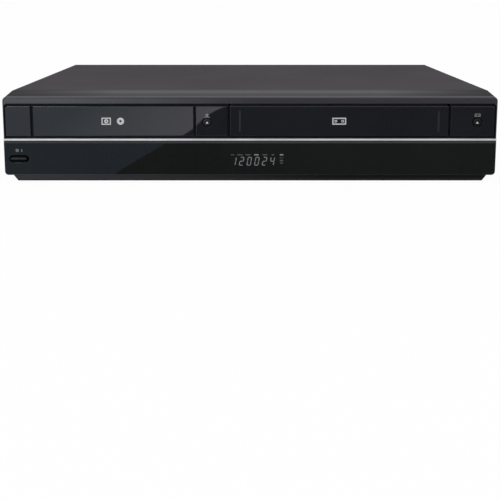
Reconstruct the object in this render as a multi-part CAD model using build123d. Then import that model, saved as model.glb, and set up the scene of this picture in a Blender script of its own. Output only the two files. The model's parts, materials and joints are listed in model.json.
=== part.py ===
from build123d import *
import os
from math import acos, cos, hypot, pi, radians, sin, tan

# A low, wide disc and cassette recorder, in millimetres.
# The front faces -Y, +X is right seen from the front and +Z is up.
# The origin lies on the floor under the middle of the set.

# Clearances
SLIDE_GAP = 0.3  # between pieces that move past each other
FIT_GAP = 0.06  # radial play of a pin in its bore
SEAT_GAP = 0.2  # under a piece that turns on its seat
OVERRUN = 2.0  # how far a cutter passes the faces that it cuts

# Media that the set takes
DISC_RADIUS = 60.0
DISC_THICK = 1.2
CASSETTE_WIDTH = 187.0
CASSETTE_LENGTH = 103.0
CASSETTE_HEIGHT = 25.0

# Front run, left to right
RIM_WIDTH = 0.95
END_GAP = 1.0  # between the rim and the end plates
BADGE_WIDTH = 22.0
BADGE_GAP = 2.2
DISC_ROOM = 1.0
TRAY_EDGE = 5.0
TRAY_DOOR_LAP = 3.95
TRAY_DOOR_GAP = 1.8
DISC_KEYS_WIDTH = 27.5
DISC_KEYS_GAP = 2.0
CASSETTE_ROOM = 0.75
TAPE_DOOR_LAP = 1.05
TAPE_DOOR_GAP = 1.7
TAPE_KEYS_WIDTH = 38.4

# Height stack, floor to top
CHIN_LIFT = 1.5
CHIN_HEIGHT = 5.3
FASCIA_HEIGHT = 30.4
TRIM_HEIGHT = 1.7
SILL_GAP = 2.35
DOOR_SPARE = 1.1
BROW_GAP = 2.35
BROW_HEIGHT = 5.5
CROWN_RISE = 3.3

# Front layers, front to back
TRIM_PROUD = 0.6
PLATE_RECESS = 0.4
PLATE_THICK = 2.4
DOOR_THICK = 2.1
BEZEL_WALL = 2.2
BEZEL_DEPTH = 33.3

# Bezel details
SHOULDER_RADIUS = 3.4  # along the crown's two ends
CREST_RADIUS = 1.2  # round the front
PLATE_CORNER = 2.6
PLATE_EDGE = 0.5
FASCIA_CORNER = 3.2
FASCIA_EDGE = 0.2
BEVEL_HEIGHT = 2.1
BEVEL_DEPTH = 0.9
TRIM_EDGE = 0.6
CHIN_INSET = 6.8
CHIN_SLANT = 4.2
CHIN_RECESS = 2.0
CLIP_WIDTH = 24.0
CLIP_REACH = 14.0
CLIP_PLACE_SHARES = (-0.36, 0.0, 0.36)  # of the bezel's width
BOARD_BOSS_RADIUS = 3.0
BOARD_BOSS_PLACE_SHARES = (-0.40, -0.22, 0.14, 0.42)  # of the bezel's width

# Buttons
KEY_RADIUS = 3.5
KEY_MOAT = 1.0  # groove round a key in its plate
KEY_HOLE_GAP = 0.25
KEY_SINK = 0.15
KEY_EDGE = 0.6
KEY_FLANGE = 1.2
KEY_LIP = 1.2
KEY_TRAVEL = 1.0
DISC_KEY_INSET = 9.8  # disc key's middle from its plate's left edge
TAPE_KEY_INSET = 23.2
KEY_RISE = 11.9  # keys' middle above the doors' lower edge
POWER_WIDTH = 15.8
POWER_HEIGHT = 4.9
POWER_EDGE = 1.9
POWER_INSET = 12.8  # power key's middle from the bezel's left end
POWER_RISE = 14.4  # power key's middle above the fascia's lower edge
PLUNGER_RADIUS = 1.7
PLUNGER_HEIGHT = 0.8
SWITCH_SIZE = 6.0
SWITCH_BODY = 3.0

# Front board and display
BOARD_SHEET = 1.6
BOARD_AIR = 1.5
TONGUE_INSET = 2.5
TONGUE_RISE = 8.0
DISPLAY_SHIFT = 7.5  # display's middle from the set's middle
DISPLAY_RISE = 13.25  # display's middle above the fascia's lower edge
DISPLAY_WIDTH = 62.0
DISPLAY_HEIGHT = 17.0
DISPLAY_GLASS = 4.0
DISPLAY_AIR = 0.6
WINDOW_LAP = 2.0

# Cassette door
AXIS_BACK = 4.4
AXIS_UP = 3.0
EAR_RADIUS = 2.2
EAR_DROP = 8.0
EAR_THICK = 2.0
EAR_INSET = 1.2
HINGE_WEB_DROP = 1.6
HINGE_PIN_RADIUS = 1.0
HINGE_PIN_BITE = 3.0
HINGE_BOSS_RADIUS = 2.9
SWING_GAP = 0.8
INLAY_WIDTH = 1.6
INLAY_DEPTH = 0.4
INLAY_INSET = 8.8
INLAY_FOOT = 4.1
INLAY_HEAD = 3.9
THROAT_WALL = 1.8

# Sheet metal case
COVER_SHEET = 0.8
COVER_INSET = 2.0
COVER_BEND = 1.2
COVER_LIP = 10.0
COVER_SKIRT = 0.5
PAN_SHEET = 1.0
PAN_FLANGE = 16.0
PAN_SLOT_LENGTH = 40.0
PAN_SLOT_WIDTH = 4.0
PAN_SLOT_PITCH = 10.0
PAN_SLOTS = 6
PANEL_SHEET = 1.0
FOOT_HEIGHT = 8.0
FOOT_RADIUS = 11.0
FOOT_EDGE = 1.2
FOOT_DIMPLE_RADIUS = 4.0
FOOT_DIMPLE_DEPTH = 3.0
FOOT_SIDE_INSET = 38.0
FOOT_END_INSET = 30.0
VENT_LENGTH = 16.0
VENT_WIDTH = 2.2
VENT_PITCH = 5.5
VENTS = 15
VENT_RISE = 24.0  # vents' lower end above the pan
VENT_REAR_INSET = 22.0
SCREW_RADIUS = 1.5
SCREW_HEAD_RADIUS = 3.2
SCREW_HEAD_HEIGHT = 1.9
SCREW_LENGTH = 6.0
SCREW_SLOT = 0.8
SCREW_CROSS_SHARE = 0.6  # of the head's radius
SCREW_SIDE_RISE = 9.0
SCREW_SIDE_INSET = 42.0
SCREW_REAR_SHARES = (-0.43, 0.0, 0.43)  # of the cover's width

# Disc tray
TRAY_RISE = 6.6  # tray's underside above the doors' lower edge
TRAY_THICK = 7.0
TRAY_LEDGE = 3.0
TRAY_LEDGE_WIDTH = 3.0
TRAY_HEAD = 7.0
TRAY_TAIL = 105.0
TRAY_TRAVEL = 135.0
TRAY_SIDE_GAP = 0.4
RECESS_DEPTH = 4.5
SMALL_DISC_RADIUS = 41.0
SMALL_DISC_STEP = 1.0
WINDOW_RADIUS = 18.5
SLOT_HALF = 21.0
SLOT_ROOM = 2.0  # behind the pickup at its travel's end

# Tray drive
PRESSURE_ANGLE = radians(20)
ROOT_SHARE = 1.25  # of a gear's module
FLANK_STEPS = 3
BACKLASH = 0.15
PINION_TEETH = 24
PINION_MODULE = 1.0
WHEEL_TEETH = 36
SPUR_TEETH = 18
WHEEL_MODULE = 0.8
GEAR_THICK = 3.7
GEAR_SPACE = 0.8
RACK_DEPTH = 4.5
RACK_BACK = 3.0
RACK_INSET = 12.0
GEAR_SETBACK = 16.5
GEAR_POST_RADIUS = 2.0
GEAR_SEAT_RADIUS = 4.0
PULLEY_RADIUS = 12.0
PULLEY_FLANGE = 1.0
PULLEY_FLANGE_THICK = 0.8
BELT_WIDTH = 2.0
BELT_THICK = 1.2
BELT_SPAN = 40.0
MOTOR_PULLEY_RADIUS = 6.0
MOTOR_RADIUS = 10.0
MOTOR_SHAFT_RADIUS = 1.0
MOTOR_DROP = 6.0
MOTOR_FLANGE = 3.0
MOTOR_FLANGE_THICK = 1.2

# Loader frame
LOADER_WALL = 3.0
LOADER_BASE = 2.5
LOADER_DEPTH = 22.0  # base's top below the tray
LOADER_HEADROOM = 1.5
RAIL_THICK = 2.0
RAIL_REACH = 2.8
LEG_RADIUS = 4.5
LEG_MARGIN = 5.0
BRIDGE_HALF = 19.0
BRIDGE_THICK = 2.0
CLAMPER_RADIUS = 17.0
CLAMPER_NECK = 13.0
CLAMPER_FLANGE = 1.5
CLAMPER_SOCKET_DEPTH = 3.0

# Traverse
TRAVERSE_LIFT_SPACE = 4.0
TRAVERSE_SHEET = 2.0
TRAVERSE_HALF = 48.0
TRAVERSE_HEAD = 22.0
TRAVERSE_TAIL = 98.0
LIFT_POST_RADIUS = 2.5
LIFT_POST_INSET = 5.0
LIFT_SEAT_RADIUS = 4.0
LIFT_BUSH_RADIUS = 4.5
LIFT_BUSH_HEIGHT = 3.5
HUB_HEIGHT = 2.6
HUB_RADIUS = 7.4
HUB_AIR = 0.6
TURNTABLE_RADIUS = 15.0
TURNTABLE_THICK = 3.0
SPINDLE_RADIUS = 1.5
SPINDLE_MOTOR_RADIUS = 13.0
ROD_RADIUS = 1.2
ROD_RISE = 1.6
ROD_INSET = 4.0  # rods' middle from the pickup's sides
LUG_HALF = 2.4
LUG_THICK = 3.0
LUG_FRONT = 18.0
SCREW_AIR = 5.0  # screw's middle from the pickup's side
SLED_MOTOR_AIR = 1.0  # between the sled motor and a lift bush
PICKUP_HEAD_HALF = 17.0
PICKUP_LENGTH = 26.0
PICKUP_BLOCK = 3.4
PICKUP_TRAVEL = 34.0
LENS_RADIUS = 3.5
LENS_HEIGHT = 1.2
LENS_REACH = 1.4
NUT_HALF = 1.0
SLED_MOTOR_RADIUS = 4.5
SLED_MOTOR_LENGTH = 11.0

# Cassette bay
HOLDER_GAP = 0.8
HOLDER_SPARE = 1.0
HOLDER_SHEET = 1.0
HOLDER_LEDGE = 12.0
HOLDER_AIR = 1.0
HOLDER_PIN_RADIUS = 1.5
HOLDER_PIN_RISE = 9.0
PIN_PLACE_SHARES = (0.2, 0.72)  # of the holder's length
CARRIAGE_TRAVEL = 30.0
CARRIAGE_SHEET = 1.5
CARRIAGE_MARGIN = 8.0
CARRIAGE_BAR = 14.0
CARRIAGE_PIN_STEP = 10.0
CARRIAGE_PIN_DROP = 7.0
SLOT_WALL = 3.0
BRACKET_SHEET = 1.2
BRACKET_FOOT = 6.0

# Tape deck
DECK_STAND = 9.0
DECK_SHEET = 1.6
DECK_TAIL = 8.0
DRUM_GAP = 4.0
DRUM_RADIUS = 31.0
LOWER_DRUM_HEIGHT = 20.0
UPPER_DRUM_HEIGHT = 17.5
DRUM_SHAFT_RADIUS = 3.0
DRUM_CUP_RADIUS = 22.0
DRUM_CUP_DEPTH = 5.0
HEAD_NOTCH = 2.4
REEL_SPACING = 92.0
REEL_SETBACK = 37.0
REEL_RADIUS = 19.0
REEL_THICK = 3.0
REEL_HUB_RADIUS = 11.0
REEL_HUB_HEIGHT = 13.0
REEL_FIN_REACH = 1.6
REEL_FIN_THICK = 2.0
REEL_FINS = 6
REEL_POST_RADIUS = 2.0
CAPSTAN_SIDE_INSET = 46.5  # capstan's middle from the lowered cassette's right side
CAPSTAN_REAR_INSET = 10.0
CAPSTAN_RADIUS = 1.5
CAPSTAN_RISE = 22.0
BEARING_RADIUS = 4.0
FLYWHEEL_RADIUS = 22.0
FLYWHEEL_THICK = 3.6
STATOR_SIZE = 50.0
STATOR_SHEET = 1.4
COIL_RADIUS = 19.0
COIL_BORE = 8.0
COIL_THICK = 1.4
ROLLER_RADIUS = 6.5
ROLLER_HEIGHT = 14.0
ROLLER_PIN_RADIUS = 1.5
PIVOT_SIDE = 3.0
PIVOT_BACK = 26.0
PIVOT_POST_RADIUS = 2.0
PINCH_SWING = radians(30)
ARM_END_RADIUS = 4.5
ARM_THICK = 2.0
ARM_RISE = 5.0
HEAD_BASE = 3.0
HEAD_INSET = 0.8
ERASE_PLACE_SHARES = (-1.7, -0.72)  # of the drum's radius, from the drum's middle
ERASE_SIZE = (10.0, 7.0, 16.0)
AUDIO_PLACE_SHARES = (1.26, -0.42)  # of the drum's radius
AUDIO_SIZE = (9.0, 7.0, 18.0)
GUIDE_PLACE_SHARES = ((-1.3, -0.2), (-1.52, 0.25), (1.22, 0.25), (1.55, -0.05))  # of the drum's radius
GUIDE_RADIUS = 1.5
GUIDE_FLANGE_RADIUS = 2.8
GUIDE_FLANGE = 1.6
GUIDE_HEIGHT = 20.0
DECK_MOTOR_RADIUS = 8.0
DECK_MOTOR_LENGTH = 26.0
DECK_MOTOR_INSET = 14.0
DECK_LEG_RADIUS = 4.0
DECK_LEG_INSET = 8.0

# Rear bay
BOARD_BAY = 100.0
BOARD_MARGIN = 4.0
BOARD_LIFT = 5.0
STANDOFF_RADIUS = 3.0
STANDOFF_INSET = 7.0
SIDE_MARGIN = 6.0
POWER_BOARD_WIDTH = 96.0
JACK_REACH = 8.2
JACK_RADIUS = 4.2
JACK_BORE = 1.7
JACK_BORE_DEPTH = 9.0
JACK_PITCH = 15.0
JACK_ROW_PITCH = 17.0
JACK_RISE = 9.0
JACK_COLUMNS = 6
JACK_ROWS = 2
JACK_BODY_DEPTH = 14.0
JACK_BODY_EDGE = 7.5
JACKS_INSET = 100.0  # jack block's left side from the main board's left edge
HOLE_GAP = 0.4
TUNER_WIDTH = 46.0
TUNER_LENGTH = 58.0
TUNER_HEIGHT = 17.0
TUNER_INSET = 24.0
ANTENNA_RADIUS = 4.7
ANTENNA_BORE = 1.0
ANTENNA_SHARES = (0.28, 0.72)  # of the tuner can's width
INLET_WIDTH = 24.0
INLET_HEIGHT = 17.0
INLET_DEPTH = 18.0
INLET_NOSE = 1.0
INLET_WALL = 1.6
INLET_SOCKET_DEPTH = 10.0
INLET_PIN_RADIUS = 1.2
INLET_PIN_HALF = 4.3
INLET_INSET = 26.0

# Parts on the two rear boards: middle as shares of the board, then width, length, height
POWER_BLOCK_SHARES = ((0.42, 0.42), (0.78, 0.30), (0.72, 0.70), (0.20, 0.22))
POWER_BLOCK_SIZES = ((38.0, 34.0, 30.0), (18.0, 12.0, 20.0), (6.0, 40.0, 28.0), (22.0, 16.0, 14.0))
POWER_CAN_SHARES = ((0.18, 0.50), (0.80, 0.48))
POWER_CAN_SIZES = ((9.0, 30.0), (6.5, 22.0))  # radius, height
MAIN_BLOCK_SHARES = ((0.16, 0.40), (0.34, 0.28), (0.55, 0.30), (0.16, 0.72), (0.62, 0.55))
MAIN_BLOCK_SIZES = (
    (28.0, 28.0, 2.6),
    (20.0, 14.0, 1.6),
    (24.0, 24.0, 2.2),
    (30.0, 6.0, 8.0),
    (14.0, 10.0, 1.6),
)
MAIN_CAN_SHARES = ((0.08, 0.16), (0.26, 0.60), (0.46, 0.56), (0.80, 0.14))
MAIN_CAN_SIZES = ((5.0, 16.0), (4.0, 12.0), (4.0, 12.0), (5.0, 14.0))

# Front run worked out
tray_width = 2 * (DISC_RADIUS + DISC_ROOM + TRAY_EDGE)
tray_door_width = tray_width + 2 * TRAY_DOOR_LAP
bay_width = CASSETTE_WIDTH + 2 * CASSETTE_ROOM
tape_door_width = bay_width + 2 * TAPE_DOOR_LAP
width = (
    2 * (RIM_WIDTH + END_GAP) + BADGE_WIDTH + BADGE_GAP + tray_door_width + TRAY_DOOR_GAP + DISC_KEYS_WIDTH
    + DISC_KEYS_GAP + tape_door_width + TAPE_DOOR_GAP + TAPE_KEYS_WIDTH
)
left = -width / 2
right = width / 2
badge_x0 = left + RIM_WIDTH + END_GAP
badge_x1 = badge_x0 + BADGE_WIDTH
tray_door_x0 = badge_x1 + BADGE_GAP
tray_door_x1 = tray_door_x0 + tray_door_width
disc_keys_x0 = tray_door_x1 + TRAY_DOOR_GAP
disc_keys_x1 = disc_keys_x0 + DISC_KEYS_WIDTH
tape_door_x0 = disc_keys_x1 + DISC_KEYS_GAP
tape_door_x1 = tape_door_x0 + tape_door_width
tape_keys_x0 = tape_door_x1 + TAPE_DOOR_GAP
tape_keys_x1 = tape_keys_x0 + TAPE_KEYS_WIDTH
tray_x = (tray_door_x0 + tray_door_x1) / 2
tape_x = (tape_door_x0 + tape_door_x1) / 2

# Height stack worked out
door_height = CASSETTE_HEIGHT + DOOR_SPARE
fascia_z = CHIN_LIFT + CHIN_HEIGHT
trim_z = fascia_z + FASCIA_HEIGHT
trim_top = trim_z + TRIM_HEIGHT
door_z = trim_top + SILL_GAP
door_top = door_z + door_height
brow_z = door_top + BROW_GAP
brow_top = brow_z + BROW_HEIGHT
height = brow_top + CROWN_RISE
hinge_z = door_top + AXIS_UP
door_sweep = hypot(AXIS_BACK, AXIS_UP + door_height)
throat_floor = hinge_z - door_sweep - SLIDE_GAP
pan_top = FOOT_HEIGHT + PAN_SHEET
cover_under = height - COVER_SHEET

# Depth worked out, front to back
holder_length = CASSETTE_LENGTH + HOLDER_SPARE
hinge_depth = TRIM_PROUD + PLATE_RECESS + AXIS_BACK
deck_length = holder_length + CARRIAGE_TRAVEL + DRUM_GAP + 2 * DRUM_RADIUS + DECK_TAIL
panel_depth = hinge_depth + door_sweep + HOLDER_GAP + deck_length + BOARD_BAY
depth = panel_depth + PANEL_SHEET + COVER_SHEET + JACK_REACH
front_y = -depth / 2
rear_y = depth / 2
face_y = front_y + TRIM_PROUD
plate_y = face_y + PLATE_RECESS
door_back = plate_y + DOOR_THICK
wall_y = plate_y + PLATE_THICK
wall_back = wall_y + BEZEL_WALL
bezel_back = front_y + BEZEL_DEPTH
hinge_y = plate_y + AXIS_BACK
holder_y = hinge_y + door_sweep + HOLDER_GAP
panel_y = front_y + panel_depth
panel_back = panel_y + PANEL_SHEET
cover_rear = panel_back + COVER_SHEET
switch_y = wall_back + SLIDE_GAP + KEY_FLANGE + KEY_TRAVEL + SLIDE_GAP + PLUNGER_HEIGHT
board_y = switch_y + SWITCH_BODY
loader_y = board_y + BOARD_SHEET + BOARD_AIR

# Case widths
cover_half = width / 2 - COVER_INSET
cheek_wall = COVER_INSET + COVER_SHEET
pan_half = cover_half - COVER_SHEET - SLIDE_GAP

# Key places
key_z = door_z + KEY_RISE
disc_key_x = disc_keys_x0 + DISC_KEY_INSET
tape_key_x = tape_keys_x0 + TAPE_KEY_INSET
power_x = left + POWER_INSET
power_z = fascia_z + POWER_RISE
display_z = fascia_z + DISPLAY_RISE

# Disc side places
tray_z = door_z + TRAY_RISE
tray_top = tray_z + TRAY_THICK
disc_y = door_back + TRAY_HEAD + DISC_ROOM + DISC_RADIUS
tray_rear = disc_y + TRAY_TAIL
loader_rear = tray_rear + SLIDE_GAP + LOADER_WALL
loader_half = tray_width / 2 + TRAY_SIDE_GAP + LOADER_WALL
base_top = tray_z - LOADER_DEPTH
base_z = base_top - LOADER_BASE
loader_top = tray_top + LOADER_HEADROOM
pinion_radius = PINION_TEETH * PINION_MODULE / 2
wheel_radius = WHEEL_TEETH * WHEEL_MODULE / 2
spur_radius = SPUR_TEETH * WHEEL_MODULE / 2
rack_x = tray_x - tray_width / 2 + RACK_INSET
gear_x = rack_x + pinion_radius
gear_y = loader_y + GEAR_SETBACK
pulley_x = gear_x + wheel_radius + spur_radius
motor_x = pulley_x + BELT_SPAN
pinion_z = tray_z - GEAR_SPACE - GEAR_THICK
wheel_z = pinion_z - GEAR_SPACE - GEAR_THICK
pulley_height = BELT_WIDTH + 2 * (SLIDE_GAP + PULLEY_FLANGE_THICK)
pulley_z = wheel_z - GEAR_SPACE - pulley_height

# Traverse places
traverse_z = base_top + TRAVERSE_LIFT_SPACE
traverse_top = traverse_z + TRAVERSE_SHEET
rod_z = traverse_top + ROD_RISE
turntable_top = tray_z - HUB_AIR - HUB_HEIGHT
turntable_z = turntable_top - TURNTABLE_THICK
clamper_z = tray_top + SLIDE_GAP
traverse_lift = clamper_z - SEAT_GAP - DISC_THICK - turntable_top
bush_top = traverse_top + LIFT_BUSH_HEIGHT
lens_top = turntable_top - LENS_REACH
screw_offset = TRAVERSE_HALF - LIFT_POST_INSET - LIFT_BUSH_RADIUS - SLED_MOTOR_AIR - SLED_MOTOR_RADIUS
screw_x = tray_x + screw_offset
pickup_half = screw_offset - SCREW_AIR
rod_half = pickup_half - ROD_INSET
lug_front_y = disc_y + LUG_FRONT
pickup_y = lug_front_y + LUG_THICK + SLIDE_GAP + PICKUP_LENGTH / 2
pickup_end = pickup_y + PICKUP_LENGTH / 2 + PICKUP_TRAVEL
lug_rear_y = pickup_end + SLIDE_GAP
sled_motor_y = lug_rear_y + LUG_THICK
tray_slot_end = pickup_end + SLOT_ROOM
lift_posts = [
    (tray_x + side * (TRAVERSE_HALF - LIFT_POST_INSET), y)
    for side in (-1, 1)
    for y in (disc_y - TRAVERSE_HEAD + LIFT_POST_INSET, disc_y + TRAVERSE_TAIL - LIFT_POST_INSET)
]

# Cassette side places
holder_half = bay_width / 2 + HOLDER_SHEET
carriage_in = holder_half + SLIDE_GAP
carriage_out = carriage_in + CARRIAGE_SHEET
bracket_in = carriage_out + SLIDE_GAP
bracket_out = bracket_in + BRACKET_SHEET
deck_half = bracket_out + BRACKET_FOOT
deck_z = pan_top + DECK_STAND
deck_top = deck_z + DECK_SHEET
holder_z = throat_floor
holder_roof = holder_z + CASSETTE_HEIGHT + CASSETTE_ROOM
holder_drop = holder_z - HOLDER_SHEET - deck_top - HOLDER_AIR
holder_pin_z = holder_z + HOLDER_PIN_RISE
carriage_top = holder_roof + HOLDER_SHEET + SLIDE_GAP
carriage_pin_z = holder_roof - CARRIAGE_PIN_DROP
pin_places = [holder_y + share * holder_length for share in PIN_PLACE_SHARES]
deck_rear = holder_y + deck_length
drum_y = deck_rear - DECK_TAIL - DRUM_RADIUS
reel_y = holder_y + CARRIAGE_TRAVEL + REEL_SETBACK
upper_drum_z = deck_top + LOWER_DRUM_HEIGHT + SLIDE_GAP
drum_top = upper_drum_z + UPPER_DRUM_HEIGHT
capstan_x = tape_x + CASSETTE_WIDTH / 2 - CAPSTAN_SIDE_INSET
capstan_y = holder_y + CARRIAGE_TRAVEL + CASSETTE_LENGTH - CAPSTAN_REAR_INSET
press_reach = ROLLER_RADIUS + CAPSTAN_RADIUS + SLIDE_GAP
pivot_x = capstan_x + press_reach + PIVOT_SIDE
pivot_y = capstan_y + PIVOT_BACK
roller_x = pivot_x - PIVOT_SIDE * cos(PINCH_SWING) + PIVOT_BACK * sin(PINCH_SWING)
roller_y = pivot_y - PIVOT_SIDE * sin(PINCH_SWING) - PIVOT_BACK * cos(PINCH_SWING)
arm_z = deck_top + ARM_RISE
roller_z = arm_z + ARM_THICK + SEAT_GAP
stator_z = deck_z - STATOR_SHEET
flywheel_top = stator_z - COIL_THICK - SLIDE_GAP
flywheel_z = flywheel_top - FLYWHEEL_THICK

# Rear bay places
board_z = pan_top + BOARD_LIFT
board_top = board_z + BOARD_SHEET
bay_y0 = deck_rear + BOARD_MARGIN
bay_y1 = panel_y - BOARD_MARGIN
power_board_x0 = -pan_half + SIDE_MARGIN
power_board_x1 = power_board_x0 + POWER_BOARD_WIDTH
main_board_x0 = power_board_x1 + SIDE_MARGIN
main_board_x1 = pan_half - SIDE_MARGIN
jacks_x0 = main_board_x0 + JACKS_INSET
jacks_x1 = jacks_x0 + 2 * JACK_BODY_EDGE + (JACK_COLUMNS - 1) * JACK_PITCH
jack_places = [
    (jacks_x0 + JACK_BODY_EDGE + column * JACK_PITCH, board_top + JACK_RISE + row * JACK_ROW_PITCH)
    for column in range(JACK_COLUMNS)
    for row in range(JACK_ROWS)
]
tuner_x1 = main_board_x1 - TUNER_INSET
tuner_x0 = tuner_x1 - TUNER_WIDTH
tuner_mid_z = board_top + TUNER_HEIGHT / 2
antenna_places = [(tuner_x0 + share * TUNER_WIDTH, tuner_mid_z) for share in ANTENNA_SHARES]
inlet_x = power_board_x0 + INLET_INSET
inlet_z = board_top + INLET_HEIGHT / 2


def span(x0, x1, y0, y1, z0, z1):
    """A box between two corners."""
    return Pos((x0 + x1) / 2, (y0 + y1) / 2, (z0 + z1) / 2) * Box(x1 - x0, y1 - y0, z1 - z0)


def post(x, y, z0, z1, radius):
    """An upright cylinder."""
    return Pos(x, y, (z0 + z1) / 2) * Cylinder(radius, z1 - z0)


def rod_x(x0, x1, y, z, radius):
    """A cylinder lying across the set."""
    return Pos((x0 + x1) / 2, y, z) * Rot(0, 90, 0) * Cylinder(radius, x1 - x0)


def rod_y(x, z, y0, y1, radius):
    """A cylinder lying front to back."""
    return Pos(x, (y0 + y1) / 2, z) * Rot(90, 0, 0) * Cylinder(radius, y1 - y0)


def front_plate(outline, y0, y1):
    """An outline seen from the front, X across and Z up, from y0 back to y1."""
    plane = Plane(origin=(0, y1, 0), x_dir=(1, 0, 0), z_dir=(0, -1, 0))
    return extrude(plane * outline, amount=y1 - y0, dir=(0, -1, 0))


def side_prism(points, x0, x1):
    """An outline seen from the side, Y across and Z up, from x0 to x1."""
    plane = Plane(origin=(x0, 0, 0), x_dir=(0, 1, 0), z_dir=(1, 0, 0))
    return extrude(plane * Polygon(*points, align=None), amount=x1 - x0, dir=(1, 0, 0))


def slab(outline, z0, z1):
    """An outline seen from above, from z0 up to z1."""
    return extrude(Pos(0, 0, z0) * outline, amount=z1 - z0, dir=(0, 0, 1))


def rectangle(x0, x1, z0, z1):
    """A flat rectangle between two corners."""
    return Pos((x0 + x1) / 2, (z0 + z1) / 2) * Rectangle(x1 - x0, z1 - z0)


def soften_front(piece, radius):
    """Rounds the edges of a piece's front face."""
    return fillet(piece.faces().sort_by(Axis.Y)[0].edges(), radius)


def group(pieces):
    """Separate solids that share a node."""
    return Compound([solid for piece in pieces for solid in piece.solids()])


def hull_of(circles):
    """The outline that a band round two circles follows."""
    return make_hull(Sketch(children=circles).edges())


def gear_outline(teeth, module, turn):
    """A spur gear's outline with involute flanks, one tooth's middle at the angle turn."""
    pitch = teeth * module / 2
    base = pitch * cos(PRESSURE_ANGLE)
    tip = pitch + module
    root = pitch - ROOT_SHARE * module
    half = pi / (2 * teeth) - BACKLASH / (2 * pitch) + tan(PRESSURE_ANGLE) - PRESSURE_ANGLE
    flank = [(root, half)]
    for step in range(FLANK_STEPS + 1):
        radius = base + (tip - base) * step / FLANK_STEPS
        angle = acos(base / radius)
        flank.append((radius, half - tan(angle) + angle))
    points = []
    for tooth in range(teeth):
        middle = turn + 2 * pi * tooth / teeth
        points += [(radius, middle - angle) for radius, angle in flank]
        points += [(radius, middle + angle) for radius, angle in reversed(flank)]
    return Polygon(*[(radius * cos(angle), radius * sin(angle)) for radius, angle in points], align=None)


def rack_outline():
    """The tray's rack seen from above, with a tooth beside the pinion at rest."""
    pitch = pi * PINION_MODULE
    root = rack_x - ROOT_SHARE * PINION_MODULE
    tip = rack_x + PINION_MODULE
    half = pitch / 4 - BACKLASH / 2
    half_root = half + ROOT_SHARE * PINION_MODULE * tan(PRESSURE_ANGLE)
    half_tip = half - PINION_MODULE * tan(PRESSURE_ANGLE)
    teeth = range(-2, int(TRAY_TRAVEL / pitch) + 3)
    points = [(root - RACK_BACK, gear_y + (teeth[0] - 1) * pitch)]
    points.append((root, gear_y + (teeth[0] - 1) * pitch))
    for tooth in teeth:
        y = gear_y + tooth * pitch
        points += [(root, y - half_root), (tip, y - half_tip), (tip, y + half_tip), (root, y + half_root)]
    points.append((root, gear_y + (teeth[-1] + 1) * pitch))
    points.append((root - RACK_BACK, gear_y + (teeth[-1] + 1) * pitch))
    return Polygon(*points, align=None)


# Case


def bottom_chassis():
    pan = span(-pan_half, pan_half, bezel_back, panel_back, FOOT_HEIGHT, pan_top)
    for x0, x1 in ((-pan_half, -pan_half + PAN_SHEET), (pan_half - PAN_SHEET, pan_half)):
        pan += span(x0, x1, bezel_back, panel_y, FOOT_HEIGHT, FOOT_HEIGHT + PAN_FLANGE)
    for x, y in cover_side_screws():
        pan -= rod_x(x - SCREW_LENGTH, x + SCREW_LENGTH, y, side_screw_z(), SCREW_RADIUS + FIT_GAP)
    for place in range(PAN_SLOTS):
        y = deck_rear - PAN_SLOT_PITCH * (place + 1)
        slot = Pos(tray_x, y) * SlotOverall(PAN_SLOT_LENGTH, PAN_SLOT_WIDTH)
        pan -= slab(slot, FOOT_HEIGHT - OVERRUN, pan_top + OVERRUN)
    return pan


def side_screw_z():
    return pan_top + SCREW_SIDE_RISE


def cover_side_screws():
    """Places on the cover's two sides."""
    ends = (bezel_back + SCREW_SIDE_INSET, cover_rear - SCREW_SIDE_INSET)
    return [(side * cover_half, y) for side in (-1, 1) for y in ends]


def rear_screw_places():
    z = height - COVER_LIP / 2
    return [(2 * cover_half * share, z) for share in SCREW_REAR_SHARES]


def top_cover():
    skirt = FOOT_HEIGHT + COVER_SKIRT
    outer = span(-cover_half, cover_half, bezel_back, cover_rear, skirt, height)
    bends = outer.edges().filter_by(Axis.Y).group_by(Axis.Z)[-1]
    outer = fillet(bends, COVER_BEND)
    inner_half = cover_half - COVER_SHEET
    low = skirt - OVERRUN
    far = cover_rear + OVERRUN
    cover = outer - span(-inner_half, inner_half, bezel_back - OVERRUN, panel_back, low, cover_under)
    cover -= span(-inner_half, inner_half, panel_back - OVERRUN, far, low, height - COVER_LIP)
    for place in range(VENTS):
        y = cover_rear - VENT_REAR_INSET - place * VENT_PITCH
        z0 = pan_top + VENT_RISE
        cover -= span(-cover_half - OVERRUN, cover_half + OVERRUN, y - VENT_WIDTH, y, z0, z0 + VENT_LENGTH)
    for x, y in cover_side_screws():
        cover -= rod_x(x - OVERRUN, x + OVERRUN, y, side_screw_z(), SCREW_RADIUS + FIT_GAP)
    for x, z in rear_screw_places():
        cover -= rod_y(x, z, panel_back - OVERRUN, cover_rear + OVERRUN, SCREW_RADIUS + FIT_GAP)
    return cover


def inlet_nose(grow, y0, y1):
    """The mains inlet's round-ended nose."""
    wide = INLET_WIDTH - 2 * INLET_WALL + 2 * grow
    tall = INLET_HEIGHT - 2 * INLET_WALL + 2 * grow
    return front_plate(Pos(inlet_x, inlet_z) * SlotOverall(wide, tall), y0, y1)


def rear_panel():
    panel = span(-pan_half, pan_half, panel_y, panel_back, pan_top, cover_under - SLIDE_GAP)
    y0 = panel_y - OVERRUN
    y1 = panel_back + OVERRUN
    for x, z in jack_places:
        panel -= rod_y(x, z, y0, y1, JACK_RADIUS + HOLE_GAP)
    for x, z in antenna_places:
        panel -= rod_y(x, z, y0, y1, ANTENNA_RADIUS + HOLE_GAP)
    panel -= inlet_nose(HOLE_GAP, y0, y1)
    for x, z in rear_screw_places():
        panel -= rod_y(x, z, y0, y1, SCREW_RADIUS + FIT_GAP)
    return panel


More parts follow.
